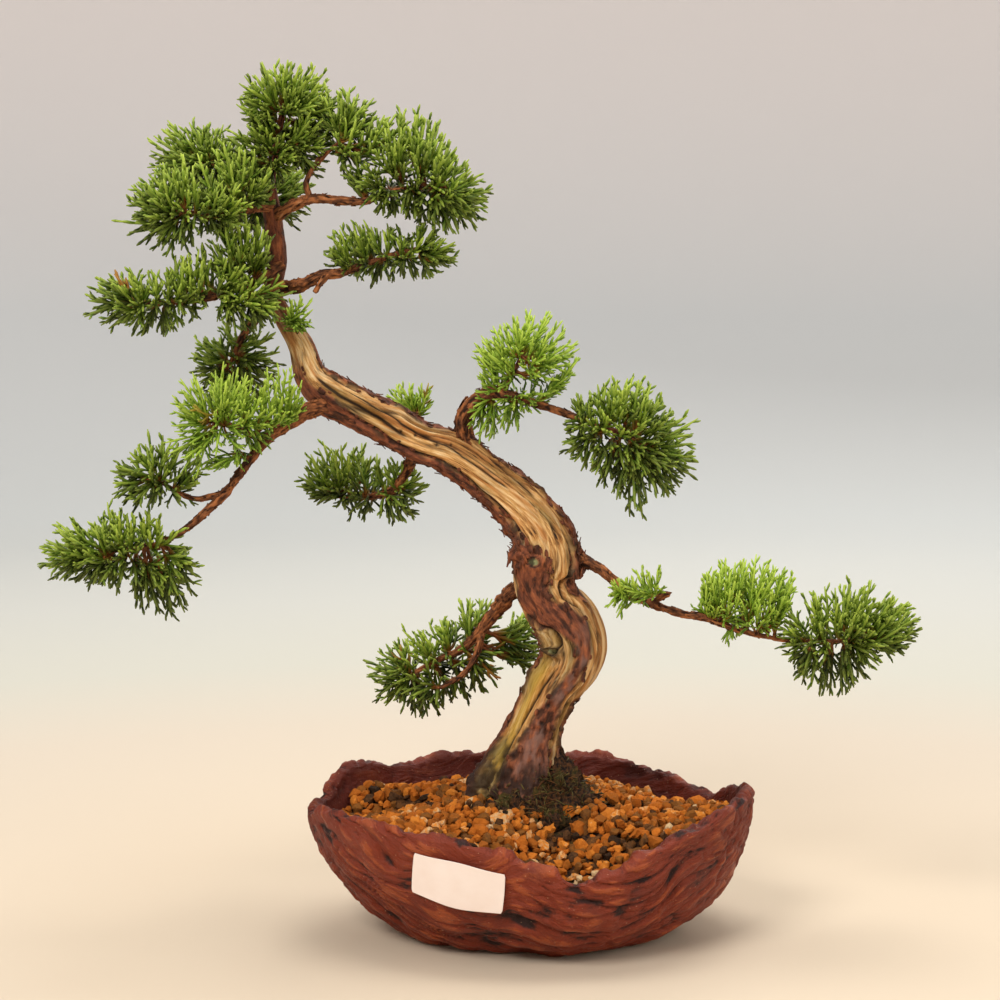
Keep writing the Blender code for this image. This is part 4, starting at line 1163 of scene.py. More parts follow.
    def tints(self, skin: StemGrid, degrees: Array, bark: Array, plates: Array) -> dict[str, Array]:
        """Where algae, fresh golden wood and smooth purple bark colour the trunk."""
        along = skin.along
        olive = ease(-0.02, 0.45, fractal(skin.cells(6, 18), 4, 137))
        olive = olive * (0.6 + 0.4 * (1 - ease(24, 64, along)))
        olive = np.maximum(olive, 0.8 * (1 - ease(18, 44, along + 8 * plates)))
        gold = np.exp(-(((degrees + 52) / 17) ** 2)) * (1 - ease(66, 84, along)) * ease(20, 30, along)
        patches = ease(0.2, 0.55, fractal(skin.cells(5, 40), 2, 139))
        gold = np.maximum(gold, 0.7 * patches * (1 - ease(90, 240, along)))
        plum = bark * ease(-0.15, 0.35, plates) * (1 - ease(84, 100, along)) * 0.6
        plum = plum * np.exp(-(((degrees - 8) / 45) ** 2))
        return {"gold": gold, "olive": olive * (1 - 0.6 * bark), "plum": plum}

    def loose_bark(self, skin: StemGrid, points: Array, bark: Array, edge: Array) -> Surface:
        """Flakes that stand off the bark, most of them at the edges of its strips and near the bend."""
        rng = np.random.default_rng(self.seed)
        shaggy = 0.12 + np.exp(-(((skin.along - 128) / 9) ** 2)) + 0.5 * ease(130, 150, skin.along)
        weight = ((edge + 0.12 * bark) * shaggy * ease(22, 34, skin.along) * skin.thin**2).ravel()
        pick = rng.choice(weight.size, self.flakes, p=weight / weight.sum())
        row, column = np.divmod(pick, self.sides)
        flakes = flake_surface(
            rng, points[row, column], skin.outward[row, column], skin.tangent[row], skin.thin[row, 0]
        )
        count = len(flakes.points)
        tone = np.repeat(rng.uniform(0.0, 0.75, self.flakes), count // self.flakes)
        blank = {key: np.zeros(count) for key in ("gold", "olive", "plum", "cut")}
        flakes.attributes = {"grain": flakes.points, "bark": np.ones(count), "split": tone, **blank}
        return flakes

    def surface(self) -> Surface:
        """The trunk's skin, with each point at the radius plus the relief, and its loose flakes."""
        degrees = np.linspace(-180, 180, self.sides, endpoint=False)[None, :]
        route = smooth_route(self.stations, self.ring_mm)
        skin = StemGrid(route, np.radians(degrees), FRONT, self.twist, least=3.0)
        bark, edge = self.strip_mask(skin.along, degrees)
        plates = fractal(skin.cells(2.2, 5), 4, 127)
        self.weather(skin, bark, edge, plates)
        self.cleave(skin, degrees)
        cut = self.mark(skin, degrees, plates)
        self.root(skin, plates)
        tints = self.tints(skin, degrees, bark, plates)
        points = skin.points()
        masks = {"grain": skin.cells(1, 1), "bark": bark, "split": skin.dark, **tints, "cut": cut}
        whole = tube_surface(points[None], {key: values[None] for key, values in masks.items()})
        return Surface.joined([whole, self.loose_bark(skin, points, bark, edge)])

    def build(self, finish: bpy.types.Material) -> None:
        """Makes and dresses the trunk."""
        self.surface().piece("juniper_trunk", finish, "trunk_wood", ("trunk",))


# ================================================================ branches
@dataclass
class Limb:
    """A run of young wood under flaking bark."""

    stations: Array
    ring_mm: float = 0.6
    sides: int = 26
    seed: int = 0
    flakes: int = 0

    def surface(self) -> Surface:
        """The limb's skin: its radius plus lengthwise flakes, thin splits and low knobs."""
        run = unit(self.stations[-1, :3] - self.stations[0, :3])
        angle = np.linspace(0, 2 * np.pi, self.sides, endpoint=False)[None, :]
        reference = FRONT if abs(run[1]) < 0.7 else UP
        skin = StemGrid(smooth_route(self.stations, self.ring_mm), angle, reference, shift=self.seed * 7)
        knobs = fractal(skin.cells(4, 4.5), 2, 151)
        plates = fractal(skin.cells(1.1, 2.6), 3, 157)
        split = creases(skin.cells(1.5, 9), 2, 163, 0.1)
        skin.relief = skin.radius * (0.24 * knobs + 0.3 * np.round(plates * 3) / 3 - 0.16 * split)
        split = np.maximum(split * 0.7, ease(-0.1, -0.45, plates))
        points = skin.points()
        whole = tube_surface(points[None], {"grain": skin.cells(1, 1)[None], "split": split[None]})
        count = int(self.flakes * skin.along[-1, 0] / 100)
        if not count:
            return whole
        rng = np.random.default_rng(self.seed)
        i, j = rng.integers(2, len(points) - 2, count), rng.integers(0, self.sides, count)
        sizes = np.clip(skin.radius[i, 0] / 4.0, 0.2, 0.9)
        loose = flake_surface(rng, points[i, j], skin.outward[i, j], skin.tangent[i], sizes)
        tone = np.repeat(rng.uniform(0, 0.8, count), len(loose.points) // count)
        loose.attributes = {"grain": loose.points, "split": tone}
        return Surface.joined([whole, loose])


@dataclass
class Branch:
    """A main limb with the twigs that fork from it, under the name of its CAD node."""

    node: str
    runs: tuple

    def build(self, finish: bpy.types.Material, seed: int) -> None:
        """Makes and dresses the branch."""
        runs = [Limb(np.array(run, float), seed=seed + k, flakes=80) for k, run in enumerate(self.runs)]
        limbs = Surface.joined([limb.surface() for limb in runs])
        limbs.piece(f"{self.node}_bark", finish, "branch_bark", (self.node,))


BRANCHES = (  # x, y, z, radius: the main limb, then its twigs
    Branch("branch_right_low", (
        ((13, 1, 159, 3), (21, 0, 156, 2.7), (29, -3, 152, 2.2), (38, -5, 145, 1.9), (49, -8, 139, 1.8),
         (61, -10, 135, 1.7), (72, -11, 133, 1.5), (86, -12, 128, 1.2), (106, -13, 124, 0.9),
         (128, -14, 124, 0.7)),
        ((49, -8, 139, 1.4), (56, -13, 143, 1.2), (53, -17, 144, 0.9)),
    )),
    Branch("branch_back_low", (
        ((0, 6, 147, 4.4), (-9, 14, 139, 3.4), (-16, 18, 130, 2.8), (-22, 21, 122, 2.3),
         (-29, 24, 115, 1.8), (-39, 26, 110, 1.3), (-50, 27, 104, 0.8)),
        ((-20, 20, 124, 1.8), (-23, 17, 113, 1.4), (-29, 14, 105, 1.1), (-38, 14, 100, 0.8)),
    )),
    Branch("branch_right_mid", (
        ((-26, 0, 202, 4), (-28, -4, 213, 3.6), (-24, -7, 220, 3.3), (-17, -9, 225, 2.9),
         (-9, -11, 224, 2.3), (2, -12, 221, 1.8), (14, -12, 217, 1.5), (27, -12, 212, 1.2),
         (40, -11, 208, 0.9)),
        ((-14, -10, 225, 2), (-8, -12, 232, 1.4), (-4, -13, 240, 0.8)),
    )),
    Branch("branch_back_mid", (
        ((-47, 3, 203, 3), (-50, 14, 196, 2.4), (-54, 20, 188, 2), (-60, 24, 182, 1.6),
         (-69, 26, 180, 1.2), (-80, 27, 180, 0.8)),
        ((-51, 15, 195, 1.8), (-48, 22, 204, 1.3), (-48, 26, 215, 0.9)),
    )),
    Branch("branch_left_long", (
        ((-80, 0, 221, 4.2), (-89, -8, 219, 3.4), (-98, -12, 213, 2.5), (-108, -16, 206, 2.2),
         (-115, -18, 197, 1.9), (-123, -20, 186, 1.8), (-132, -22, 177, 1.6), (-142, -24, 169, 1.3),
         (-154, -25, 164, 1), (-168, -26, 162, 0.7)),
        ((-124, -20, 185, 1.3), (-135, -22, 183, 1.1), (-145, -23, 187, 0.9), (-151, -24, 192, 0.7)),
        ((-108, -16, 206, 1.5), (-117, -20, 211, 1.2), (-127, -23, 215, 0.8)),
    )),
    Branch("branch_crown_hanging", (
        ((-105, 3, 262, 2), (-113, 8, 256, 1.8), (-119, 12, 249, 1.5), (-123, 15, 242, 1.1),
         (-127, 17, 235, 0.8)),
    )),
    Branch("branch_crown_left", (
        ((-103, 0, 277, 2.4), (-109, -8, 272, 2.1), (-118, -14, 268, 1.7), (-128, -18, 264, 1.4),
         (-141, -22, 262, 1.1), (-155, -25, 261, 0.8)),
    )),
    Branch("branch_crown_left_high", (
        ((-106, 2, 301, 2), (-112, -6, 300, 1.7), (-120, -12, 298, 1.4), (-129, -16, 297, 1.1),
         (-139, -20, 298, 0.8)),
    )),
    Branch("branch_crown_left_top", (
        ((-106, 3, 306, 1.8), (-113, 6, 310, 1.5), (-121, 9, 315, 1.1), (-130, 11, 320, 0.7)),
    )),
    Branch("branch_crown_right_low", (
        ((-104, 2, 268, 3), (-94, -2, 269, 2.7), (-86, -4, 273, 2.2), (-77, -5, 274, 1.9),
         (-68, -6, 277, 1.4), (-57, -7, 281, 1.1), (-46, -8, 284, 0.8)),
        ((-83, -5, 273, 1.4), (-86, -7, 269, 1.1), (-88, -8, 266, 0.9)),
    )),
    Branch("branch_crown_right_high", (
        ((-105, 2, 297, 2.6), (-98, -2, 301, 2.3), (-89, -5, 304, 2), (-77, -8, 303, 1.8),
         (-66, -10, 303, 1.5), (-53, -12, 307, 1.1), (-38, -13, 309, 0.8)),
        ((-90, -5, 304, 1.2), (-91, -6, 311, 1.1), (-86, -8, 319, 1), (-78, -9, 326, 0.7)),
    )),
    Branch("branch_crown_rear", (
        ((-104, 4, 288, 2.2), (-108, 18, 295, 1.8), (-113, 32, 303, 1.3), (-118, 43, 309, 0.8)),
    )),
)


# ================================================================ foliage
def nearest(points: Array, others: Array) -> Array:
    """For each point, which of the other points is nearest."""
    return np.argmin(np.linalg.norm(points[:, None] - others[None], axis=2), axis=1)


@dataclass
class Shoots:
    """Many shoots at once, each a quadratic curve with a flat plane that its side shoots lie in.

    Attributes are arrays with a row for each shoot: start, middle and end of its curve, the plane's normal,
    the radius, how young it is together with its painted light and shade, and how woody-based and dead it is.
    """

    start: Array
    middle: Array
    end: Array
    plane: Array
    radius: Array
    age: Array
    stem: Array
    dead: Array

    def length(self) -> Array:
        """The length of each shoot's chord."""
        return np.linalg.norm(self.end - self.start, axis=1)

    def forks(
        self, rng: np.random.Generator, spacing: float, first: float, reach: float, least: float
    ) -> "Shoots":
        """Side shoots, alternately left and right in each shoot's plane.

        A side shoot leaves at 24 to 44 degrees and bends back towards its parent's direction. It is as long
        as reach times the square root of what is left of the parent, and no longer than the parent allows.
        The nearer the parent's foot it stands, the darker it is: older growth, and painted shade deep in the
        spray.

        Args:
            rng: the source of randomness.
            spacing: distance between side shoots.
            first: share of the parent where the first one stands.
            reach: length of the longest, in millimetres.
            least: shortest parent that forks.

        Returns:
            The side shoots of all shoots together.
        """
        lengths = self.length()
        slots = np.maximum(((lengths * (0.97 - first)) / spacing).astype(int), 1)
        slots = np.where(lengths < least, 0, slots)
        most = int(slots.max())
        owner, order = np.nonzero(np.arange(most)[None, :] < slots[:, None])
        share = first + (0.96 - first) * (order + rng.uniform(0.15, 0.85, len(order))) / slots[owner]
        a, b, c = self.start[owner], self.middle[owner], self.end[owner]
        f = share[:, None]
        at = (1 - f) ** 2 * a + 2 * f * (1 - f) * b + f**2 * c
        heading = unit((1 - f) * (b - a) + f * (c - b))
        side = unit(np.cross(self.plane[owner], heading)) * np.where(order % 2 == 0, 1, -1)[:, None]
        lift = self.plane[owner] * rng.normal(0, 0.34, (len(order), 1))
        angle = np.radians(rng.uniform(24, 44, (len(order), 1)))
        away = unit(heading * np.cos(angle) + side * np.sin(angle) + lift * 0.6)
        size = reach * np.sqrt(np.clip(1.14 - share, 0.05, 1)) * rng.uniform(0.66, 1.12, len(order))
        size = np.minimum(size, 0.8 * lengths[owner] + 1.0)[:, None]
        return Shoots(
            at, at + away * size * 0.5, at + away * size * 0.86 + heading * size * 0.16,
            unit(self.plane[owner] + rng.normal(0, 0.3, (len(order), 3))),
            self.radius[owner] * 0.9,
            # darker near the parent's foot: older growth and painted shade inside the spray
            np.clip(self.age[owner] * (0.5 + 0.55 * share) + rng.normal(0, 0.08, len(order)), 0, 1),
            np.zeros(len(order)), self.dead[owner],
        )

    def surface(self, rings: int, sides: int) -> Surface:
        """Cords round the curves, beaded by their scale leaves and pointed at the tip.

        The radius alternates by a tenth from ring to ring, and shrinks over the last fifth.
        """
        t = np.linspace(0, 1, rings)
        centres = bezier(self.start, self.middle, self.end, np.broadcast_to(t, (len(self.start), rings)))
        _, across, side = cross_frames(centres, self.plane + 0.01)
        theta = np.linspace(0, 2 * np.pi, sides, endpoint=False)
        bead = 1 + 0.12 * np.where(np.arange(rings) % 2 == 0, 1, -1)
        taper = np.where(np.arange(rings) == rings - 1, 0.5, np.where(np.arange(rings) == 0, 0.7, 1.0))
        radius = self.radius[:, None] * (bead * taper)[None, :]
        around = across[..., None, :] * np.cos(theta)[:, None] + side[..., None, :] * np.sin(theta)[:, None]
        points = centres[..., None, :] + around * radius[..., None, None]
        shape = points.shape[:3]
        # the tips show more on cords in painted light
        tip = np.broadcast_to((0.8 * t**2.0)[None, :, None], shape) * (0.2 + 0.8 * self.age)[:, None, None]
        stem = self.stem[:, None, None] * (1 - ease(0.1, 0.5, t))[None, :, None]
        whole = np.ones(shape)
        return tube_surface(points, {
            "tip": tip * whole, "stem": stem * whole, "age": self.age[:, None, None] * whole,
            "dead": self.dead[:, None, None] * whole,
        })


class Habit(Enum):
    """How a cloud of foliage grows."""

    MATURE = "cords of scale leaves in dense sprays"
    YOUNG = "bright, finer and looser shoots"


@dataclass
class Cloud:
    """One cloud of foliage, grown over the surface of its CAD node and carried by its branch."""

    node: str
    branch: str
    habit: Habit = Habit.MATURE
    spacing: float = 4.35  # between the tips of neighbouring sprays
    droop: float = 0.0
    loose: float = 5.5  # how far the longest plume stands out of the skin
    lobes: tuple = ()  # further ellipsoids that the cloud fills towards the trunk: x, y, z and three radii

    def skin(self, rng: np.random.Generator, count: int) -> tuple[Array, Array]:
        """Random points of the CAD node's surface, with their normals, fewer underneath."""
        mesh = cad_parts[self.node].data
        points = np.empty(len(mesh.vertices) * 3)
        mesh.vertices.foreach_get("co", points)
        points = points.reshape(-1, 3) / MM
        mesh.calc_loop_triangles()
        corners = np.empty(len(mesh.loop_triangles) * 3, int)
        mesh.loop_triangles.foreach_get("vertices", corners)
        a, b, c = (points[corners.reshape(-1, 3)[:, k]] for k in range(3))
        product = np.cross(b - a, c - a)
        normal = unit(product)
        weight = np.linalg.norm(product, axis=1) * (0.45 + 0.55 * ease(-0.9, 0.1, normal[:, 2]))
        pick = rng.choice(len(weight), count, p=weight / weight.sum())
        u, v = rng.uniform(0, 1, (2, count, 1))
        flip = u + v > 1
        u, v = np.where(flip, 1 - u, u), np.where(flip, 1 - v, v)
        centre = points.mean(axis=0)
        outward = [unit(normal[pick] + 0.6 * unit(a[pick] - centre))]
        places = [a[pick] + (b - a)[pick] * u + (c - a)[pick] * v]
        for lobe in np.array(self.lobes, float).reshape(-1, 6):
            ball = unit(rng.normal(size=(count // 4, 3)))
            places.append(lobe[:3] + ball * lobe[3:])
            outward.append(unit(ball / lobe[3:]))
        order = rng.permutation(sum(len(part) for part in places))
        return np.concatenate(places)[order], np.concatenate(outward)[order]

    def tips(self, rng: np.random.Generator) -> tuple[Array, Array]:
        """Points of the skin that keep the spacing, each taken in turn if no kept one is nearer."""
        points, normals = self.skin(rng, 4200)
        kept: list[int] = []
        room = np.full(len(points), np.inf)
        for k in range(len(points)):
            if room[k] > self.spacing:
                kept.append(k)
                room = np.minimum(room, np.linalg.norm(points - points[k], axis=1))
        return points[kept], normals[kept]

    def skeleton(self) -> Array:
        """The carrying branch's centre line, every millimetre and a half."""
        carriers = {"trunk": (Trunk().stations,), **{branch.node: branch.runs for branch in BRANCHES}}
        return np.vstack([smooth_route(np.array(run, float), 1.5)[:, :3] for run in carriers[self.branch]])

    def plumes(self, rng: np.random.Generator, knees: Array, way: Array) -> tuple[Array, ...]:
        """Groups the knees by nearness into plumes that lean and reach out together.

        Args:
            rng: the source of randomness.
            knees: where the sprays leave their twigs.
            way: the directions of their ends.

        Returns:
            Each spray's plume, the plumes' centres and overshoots, and the sprays' new directions.
        """
        groups = max(3, round(len(knees) / 10))
        centres = knees[rng.choice(len(knees), groups, replace=False)]

        def means(values: Array, spare: Array) -> Array:
            """The mean of each group's values, or the spare one of an empty group."""
            return np.stack([
                values[owner == g].mean(axis=0) if np.any(owner == g) else spare[g] for g in range(groups)
            ])

        for _ in range(8):
            owner = nearest(knees, centres)
            centres = means(knees, centres)
        lean = unit(means(way, way[:1].repeat(groups, axis=0)) + rng.normal(0, 0.4, (groups, 3)))
        overshoot = self.loose * rng.uniform(0, 1, (groups, 1)) ** 1.5
        return owner, centres, overshoot, unit(0.4 * way + 0.8 * lean[owner])

    def grow(self, rng: np.random.Generator) -> tuple[Shoots, list[Array]]:
        """Grows the sprays and the twigs that carry them.

        Each spray ends in its own direction, way, a mix of the skin's normal, the line from the branch and
        the light above: knee = tip - way length. A plume's shoots lean to its own direction and overshoot the
        skin by its own length. A twig runs from the branch to each plume, and the quadratic curve
        (twig, knee, tip) is the spray.

        Returns:
            The sprays' main shoots, and each twig's stations.
        """
        tips, normals = self.tips(rng)
        count = len(tips)
        bones = self.skeleton()
        reach = np.linalg.norm(bones - tips.mean(axis=0), axis=1)
        bones = bones[reach < max(np.ptp(tips, axis=0).max() * 0.62, reach.min() + 6)]
        away = tips - bones[nearest(tips, bones)]
        distance = np.linalg.norm(away, axis=1, keepdims=True)
        light = UP * (0.6 * ease(-0.8, 0.2, normals[:, 2:]) - 0.1)
        way = unit(0.5 * normals + 0.7 * unit(away) + light + rng.normal(0, 0.13, tips.shape))
        knees = tips - way * np.minimum(distance * 0.8, rng.uniform(7, 15, (count, 1)))
        owner, centres, overshoot, way = self.plumes(rng, knees, way)
        roots = bones[nearest(centres, bones)]
        heads = roots + (centres - roots) * 0.9
        bend = (roots + heads) / 2 + [0, 0, -1.2]
        paths = bezier(roots, bend, heads, np.broadcast_to(np.linspace(0, 1, 5), (len(centres), 5)))
        twigs = [np.column_stack([path, np.linspace(0.9, 0.45, 5)]) for path in paths]
        t = rng.uniform(0.15, 1.0, (count, 1))
        start = bezier(roots[owner], bend[owner], heads[owner], t)[:, 0]
        past = overshoot[owner] - 0.5 + 4.5 * rng.uniform(0, 1, (count, 1)) ** 2.0
        end = tips + way * past - UP * (self.droop + np.clip(-normals[:, 2:], 0, 1) * 1.2)
        plane = unit(np.cross(end - knees, rng.normal(size=(count, 3))))
        brighter, thick = (0.3, 0.52) if self.habit is Habit.YOUNG else (0.0, 0.63)
        patch = 0.14 * fractal(tips / 11.0, 2, 167)
        # brighter for sprays that face up: painted light from above; the young habit and random patches are
        # real growth
        age = np.clip(0.4 + 0.3 * normals[:, 2] + brighter + patch + rng.normal(0, 0.1, count), 0.02, 1)
        dead = (rng.uniform(0, 1, count) < 0.006) * rng.uniform(0.5, 0.9, count)
        radius = thick * rng.uniform(0.86, 1.12, count)
        return Shoots(start, knees, end, plane, radius, age, np.ones(count), dead), twigs

    def build(self, finishes: dict[Habit, bpy.types.Material], bark: bpy.types.Material, seed: int) -> None:
        """Makes and dresses the cloud's leaves and its twigs."""
        rng = np.random.default_rng(seed)
        main, twigs = self.grow(rng)
        fine = self.habit is Habit.YOUNG
        sides = main.forks(rng, 2.3 if fine else 2.6, 0.25, 7.5 if fine else 9.2, 4.0)
        smallest = sides.forks(rng, 2.0 if fine else 2.5, 0.3, 3.8, 4.8)
        leaves = Surface.joined([main.surface(8, 5), sides.surface(4, 4), smallest.surface(3, 3)])
        leaves.piece(f"{self.node}_leaves", finishes[self.habit], "foliage", (self.node,))
        wood = [Limb(run, ring_mm=2.5, sides=7, seed=seed).surface() for run in twigs]
        Surface.joined(wood).piece(f"{self.node}_twigs", bark, "branch_bark")


CLOUDS = (
    Cloud("foliage_apex", "trunk", lobes=((-106, -6, 323, 13, 11, 13), (-91, -5, 326, 9, 9, 10))),
    Cloud("foliage_crown_left_top", "branch_crown_left_top"),
    Cloud("foliage_crown_left_high", "branch_crown_left_high", lobes=((-119, -15, 308, 14, 12, 12),)),
    Cloud(
        "foliage_crown_left", "branch_crown_left",
        lobes=((-117, -16, 282, 12, 10, 10), (-114, -20, 262, 13, 11, 10)),
    ),
    Cloud("foliage_crown_hanging", "branch_crown_hanging", Habit.MATURE, 4.8, 3.0, 8.0),
    Cloud("foliage_crown_rear", "branch_crown_rear"),
    Cloud("foliage_crown_right_high", "branch_crown_right_high", lobes=((-75, -7, 337, 11, 10, 9),)),
    Cloud("foliage_crown_right_low", "branch_crown_right_low"),
    Cloud("foliage_trunk_tuft", "trunk", Habit.YOUNG, 3.6),
    Cloud("foliage_left_upper", "branch_left_long", Habit.YOUNG, 4.6, loose=8.5),
    Cloud("foliage_left_middle", "branch_left_long", Habit.MATURE, 4.9, loose=9.0),
    Cloud("foliage_left_end", "branch_left_long", Habit.MATURE, 4.9, loose=9.0),
    Cloud("foliage_back_mid", "branch_back_mid", Habit.MATURE, 4.9, loose=9.0),
    Cloud("foliage_back_mid_top", "branch_back_mid", Habit.YOUNG, 3.8),
    Cloud("foliage_right_mid_inner", "branch_right_mid", Habit.YOUNG, 4.4, loose=7.5),
    Cloud("foliage_right_mid_outer", "branch_right_mid", Habit.MATURE, 4.6, loose=7.5),
    Cloud("foliage_back_low", "branch_back_low", Habit.MATURE, 4.9, 3.0, 9.0),
    Cloud("foliage_back_low_inner", "branch_back_low", droop=1.5),
    Cloud("foliage_right_low_tuft", "branch_right_low", Habit.YOUNG, 3.6),
    Cloud("foliage_right_low_inner", "branch_right_low", Habit.YOUNG),
    Cloud("foliage_right_low_end", "branch_right_low", Habit.MATURE, 4.7, loose=8.0),
)


# ================================================================ label
@dataclass
class Label:
    """The blank paper label: a thin sheet with rounded corners that lies on the wall of the bowl."""

    bowl: Bowl
    width: float = 38.0
    height: float = 21.0
    corner: float = 2.6
    thickness: float = 0.2
    direction: float = 251.0
    rise: float = 0.757
    stand_off: float = 1.5
    bend_radius: float = 96.0

    def surface(self) -> Surface:
        """Rings of a rounded rectangle, from its edge to its middle, laid along the wall, with a thickness.

        The outline is a box shrunk by the corner radius plus a circle of that radius. The sheet touches the
        wall in its middle and is bent round one upright axis, as paper can be.
        """
        turn = np.linspace(0, 2 * np.pi, 96, endpoint=False)[None, :]
        share = np.array([1.0, 0.985, 0.9, 0.7, 0.45, 0.2, 0.05])[:, None]
        box_u, box_v = self.width / 2 - self.corner, self.height / 2 - self.corner
        reach = 1 / np.maximum(np.abs(np.cos(turn)) / box_u, np.abs(np.sin(turn)) / box_v)
        u = share * (np.clip(reach * np.cos(turn), -box_u, box_u) + self.corner * np.cos(turn))
        v = share * (np.clip(reach * np.sin(turn), -box_v, box_v) + self.corner * np.sin(turn))
        b = self.bowl
        places = ((0.0, 0.0), (8.0, 0.0), (-8.0, 0.0), (0.0, 0.1))  # degrees and rise from the middle
        centre, right, left, above = (
            b.wall_point(np.array(self.direction + turned), np.array(self.rise + higher), 0.0, 0.0)
            for turned, higher in places
        )
        level = unit(right - left)
        steep = unit(above - centre - level * ((above - centre) @ level))
        outward = unit(np.cross(level, steep))
        bent = u / self.bend_radius
        place = centre + level * (self.bend_radius * np.sin(bent))[..., None] + steep * v[..., None]
        place = place - outward * (self.bend_radius * (1 - np.cos(bent)))[..., None]
        front = place + outward * (self.stand_off + self.thickness)
        back = place + outward * self.stand_off
        rings = np.concatenate([back[::-1], front])
        return tube_surface(rings[None], {})

    def build(self) -> None:
        """Makes and dresses the label."""
        paper = PlainGoods("coated_label_paper", "#f6e9e2", "#f1e1d8", 9.0, 0.42).material()
        self.surface().piece("blank_label", paper, "paper_label", ("label",))


# ================================================================ studio
WARM, COOL = (1.0, 0.965, 0.92), (0.7, 0.87, 1.0)  # colours of the lamps
TREE, WALL = (-0.02, 0.0, 0.16), (0.0, 3.2, 0.8)  # what they are aimed at


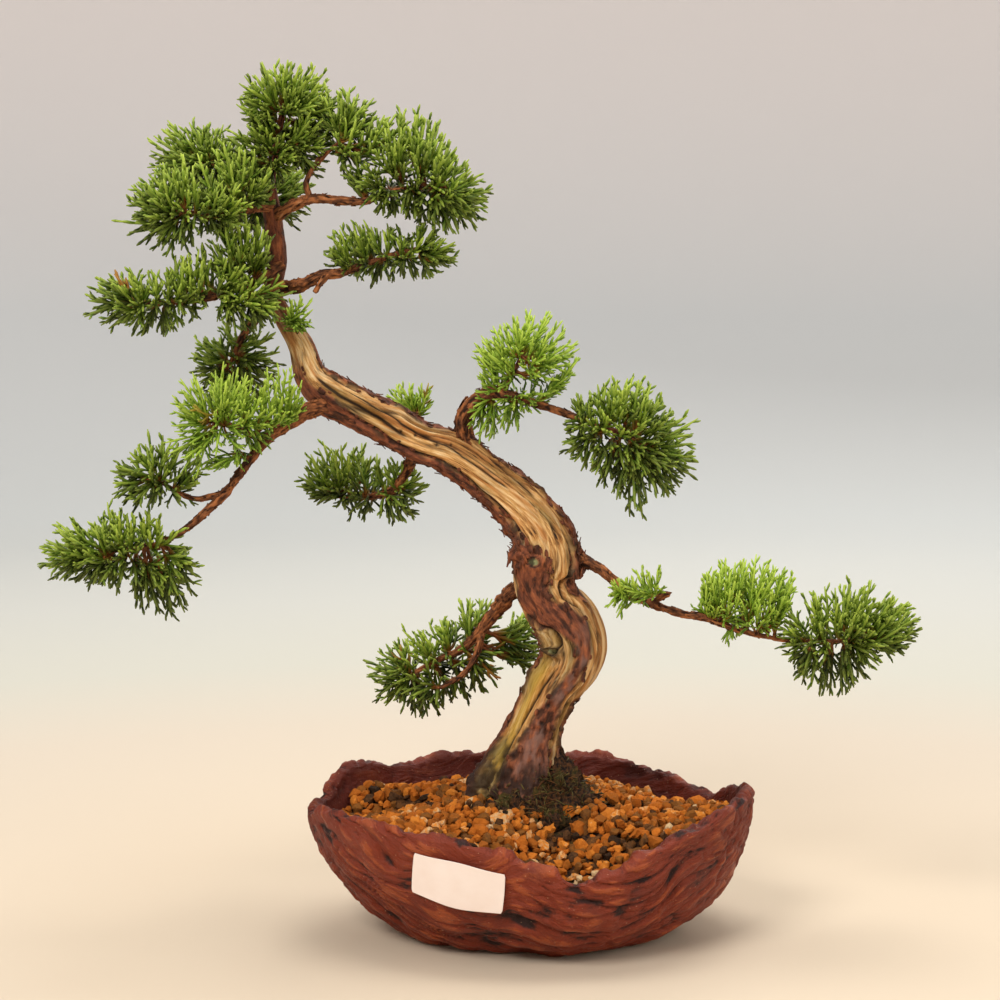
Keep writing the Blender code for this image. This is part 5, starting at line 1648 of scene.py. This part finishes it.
@dataclass
class Studio:
    """A pale floor that curves up all round with a painted light gradient, soft lights, and the camera."""

    flat_radius: float = 1.7
    wall_radius: float = 3.2
    wall_height: float = 3.4
    lens_mm: float = 78.0
    viewer_at: tuple = (-0.0126, -0.8931, 0.2510)
    viewer_tilt: float = 4.5  # degrees down
    # painted light: warm beige in the middle of the floor, cool grey towards the bend, light pink on the wall
    tones: tuple = (  # share of the wall's radius, colour
        (0.06, "#d2c3ae"), (0.15, "#cfc4b4"), (0.23, "#cac9be"), (0.35, "#cdcec8"), (0.6, "#d0d4d3"),
        (0.8, "#d2d4d4"), (0.95, "#ebe3df"),
    )
    lamps: tuple = (  # name, place, size, watts, colour, aim
        ("key", (-0.9, -1.5, 1.5), 0.9, 31.0, WARM, TREE),
        ("fill", (1.4, -1.0, 0.9), 1.3, 10.0, WARM, TREE),
        ("top", (0.1, 0.2, 1.9), 1.2, 20.0, WARM, TREE),
        ("back", (0.6, 1.7, 1.2), 1.2, 8.0, WARM, TREE),
        ("wash", (0.0, 0.9, 2.2), 1.6, 4.2, COOL, WALL),
    )

    def floor(self) -> None:
        """The floor: a turned profile, level to the flat radius, then a quarter circle and a wall."""
        turn = np.linspace(0, np.pi / 2, 24)
        bend = self.wall_radius - self.flat_radius
        flat = np.linspace(0.01, self.flat_radius, 12)[:-1]
        radius = np.concatenate([flat, self.flat_radius + bend * np.sin(turn), [self.wall_radius]])[:, None]
        height = np.concatenate([0 * flat, bend * (1 - np.cos(turn)), [self.wall_height]])[:, None]
        sides = 96
        around = np.linspace(0, 2 * np.pi, sides, endpoint=False)[None, :]
        points = stack(radius * np.cos(around), radius * np.sin(around), height).reshape(-1, 3)
        quads, _ = tube_faces(len(radius), sides)
        cap = [(len(points), a, (a + 1) % sides) for a in range(sides)]
        mesh = bpy.data.meshes.new("studio_floor")
        mesh.from_pydata([*points.tolist(), (0.0, 0.0, 0.0)], [], quads.tolist() + cap)
        mesh.shade_smooth()
        w = Wiring("backdrop_with_painted_light", Roughness=0.9, Specular_IOR_Level=0.1)
        level = w.node("VectorMath", {0: w.place(), 1: (1.0, 1.0, 0.0)}, operation="MULTIPLY")
        out = w.node("VectorMath", {0: level}, "Value", operation="LENGTH")
        # the colour by distance from the middle is painted light
        colour = w.ramp(w.remap(out, 0.0, self.wall_radius, 0.0, 1.0), *self.tones)
        mesh.materials.append(w.finish(Base_Color=colour))
        obj = bpy.data.objects.new("studio_floor", mesh)
        bpy.context.scene.collection.objects.link(obj)

    def lights(self) -> None:
        """The lamps, and an even sky."""
        for name, place, size, watts, colour, aim in self.lamps:
            data = bpy.data.lights.new(name, "AREA")
            data.shape = "DISK"
            data.size = size
            data.energy = watts
            data.color = colour
            lamp = bpy.data.objects.new(name, data)
            lamp.location = place
            x, y, z = np.array(aim) - np.array(place)
            lamp.rotation_euler = (math.atan2(math.hypot(x, y), -z), 0.0, math.atan2(y, x) - math.pi / 2)
            bpy.context.scene.collection.objects.link(lamp)
        world = bpy.data.worlds.new("studio_air")
        world.use_nodes = True
        world.node_tree.nodes["Background"].inputs["Color"].default_value = (1.0, 0.98, 0.96, 1.0)
        world.node_tree.nodes["Background"].inputs["Strength"].default_value = 0.5
        bpy.context.scene.world = world

    def camera(self) -> None:
        """The camera, a little above the middle of the tree and tilted down by a few degrees."""
        data = bpy.data.cameras.new("viewer")
        data.lens = self.lens_mm
        data.sensor_width = 36.0
        data.clip_start = 0.05
        viewer = bpy.data.objects.new("viewer", data)
        viewer.location = self.viewer_at
        viewer.rotation_euler = (math.radians(90 - self.viewer_tilt), 0.0, 0.0)
        bpy.context.scene.collection.objects.link(viewer)
        bpy.context.scene.camera = viewer

    def build(self) -> None:
        """Sets up the stage."""
        self.floor()
        self.lights()
        self.camera()
        bpy.context.scene.view_settings.view_transform = "Standard"


def main() -> None:
    """Builds the bonsai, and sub-assembly by sub-assembly."""
    logging.basicConfig(level=logging.INFO, format="%(message)s")
    low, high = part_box("pot")
    bowl = Bowl(half_length=(high.x - low.x) / 2 / MM, half_depth=74.0)
    Studio().build()
    bowl.build()
    Ground(bowl).build()
    Label(bowl).build()
    plastic = PlainGoods("moulded_polyethylene", "#101010", "#1c1c1c", 3.0, 0.5).material()
    wire = PlainGoods("drawn_aluminium", "#b9bbbd", "#a7a9ab", 2.0, 0.35, 1.0).material()
    for side in ("left", "right"):
        dress(f"drain_mesh_{side}", plastic)
        dress(f"drain_clip_{side}", wire)
    Trunk().build(OldJuniper().material())
    bark = JuniperBark().material()
    for k, branch in enumerate(BRANCHES):
        branch.build(bark, k)
    leaves = {
        Habit.MATURE: ScaleLeaf().material(),
        Habit.YOUNG: ScaleLeaf(
            "young_juniper_leaf", shade="#2a4408", leaf="#587e14", fresh="#85a62a", tip="#bfd358"
        ).material(),
    }
    for k, cloud in enumerate(CLOUDS):
        cloud.build(leaves, bark, 100 + k)
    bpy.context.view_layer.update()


if __name__ == "__main__":
    main()
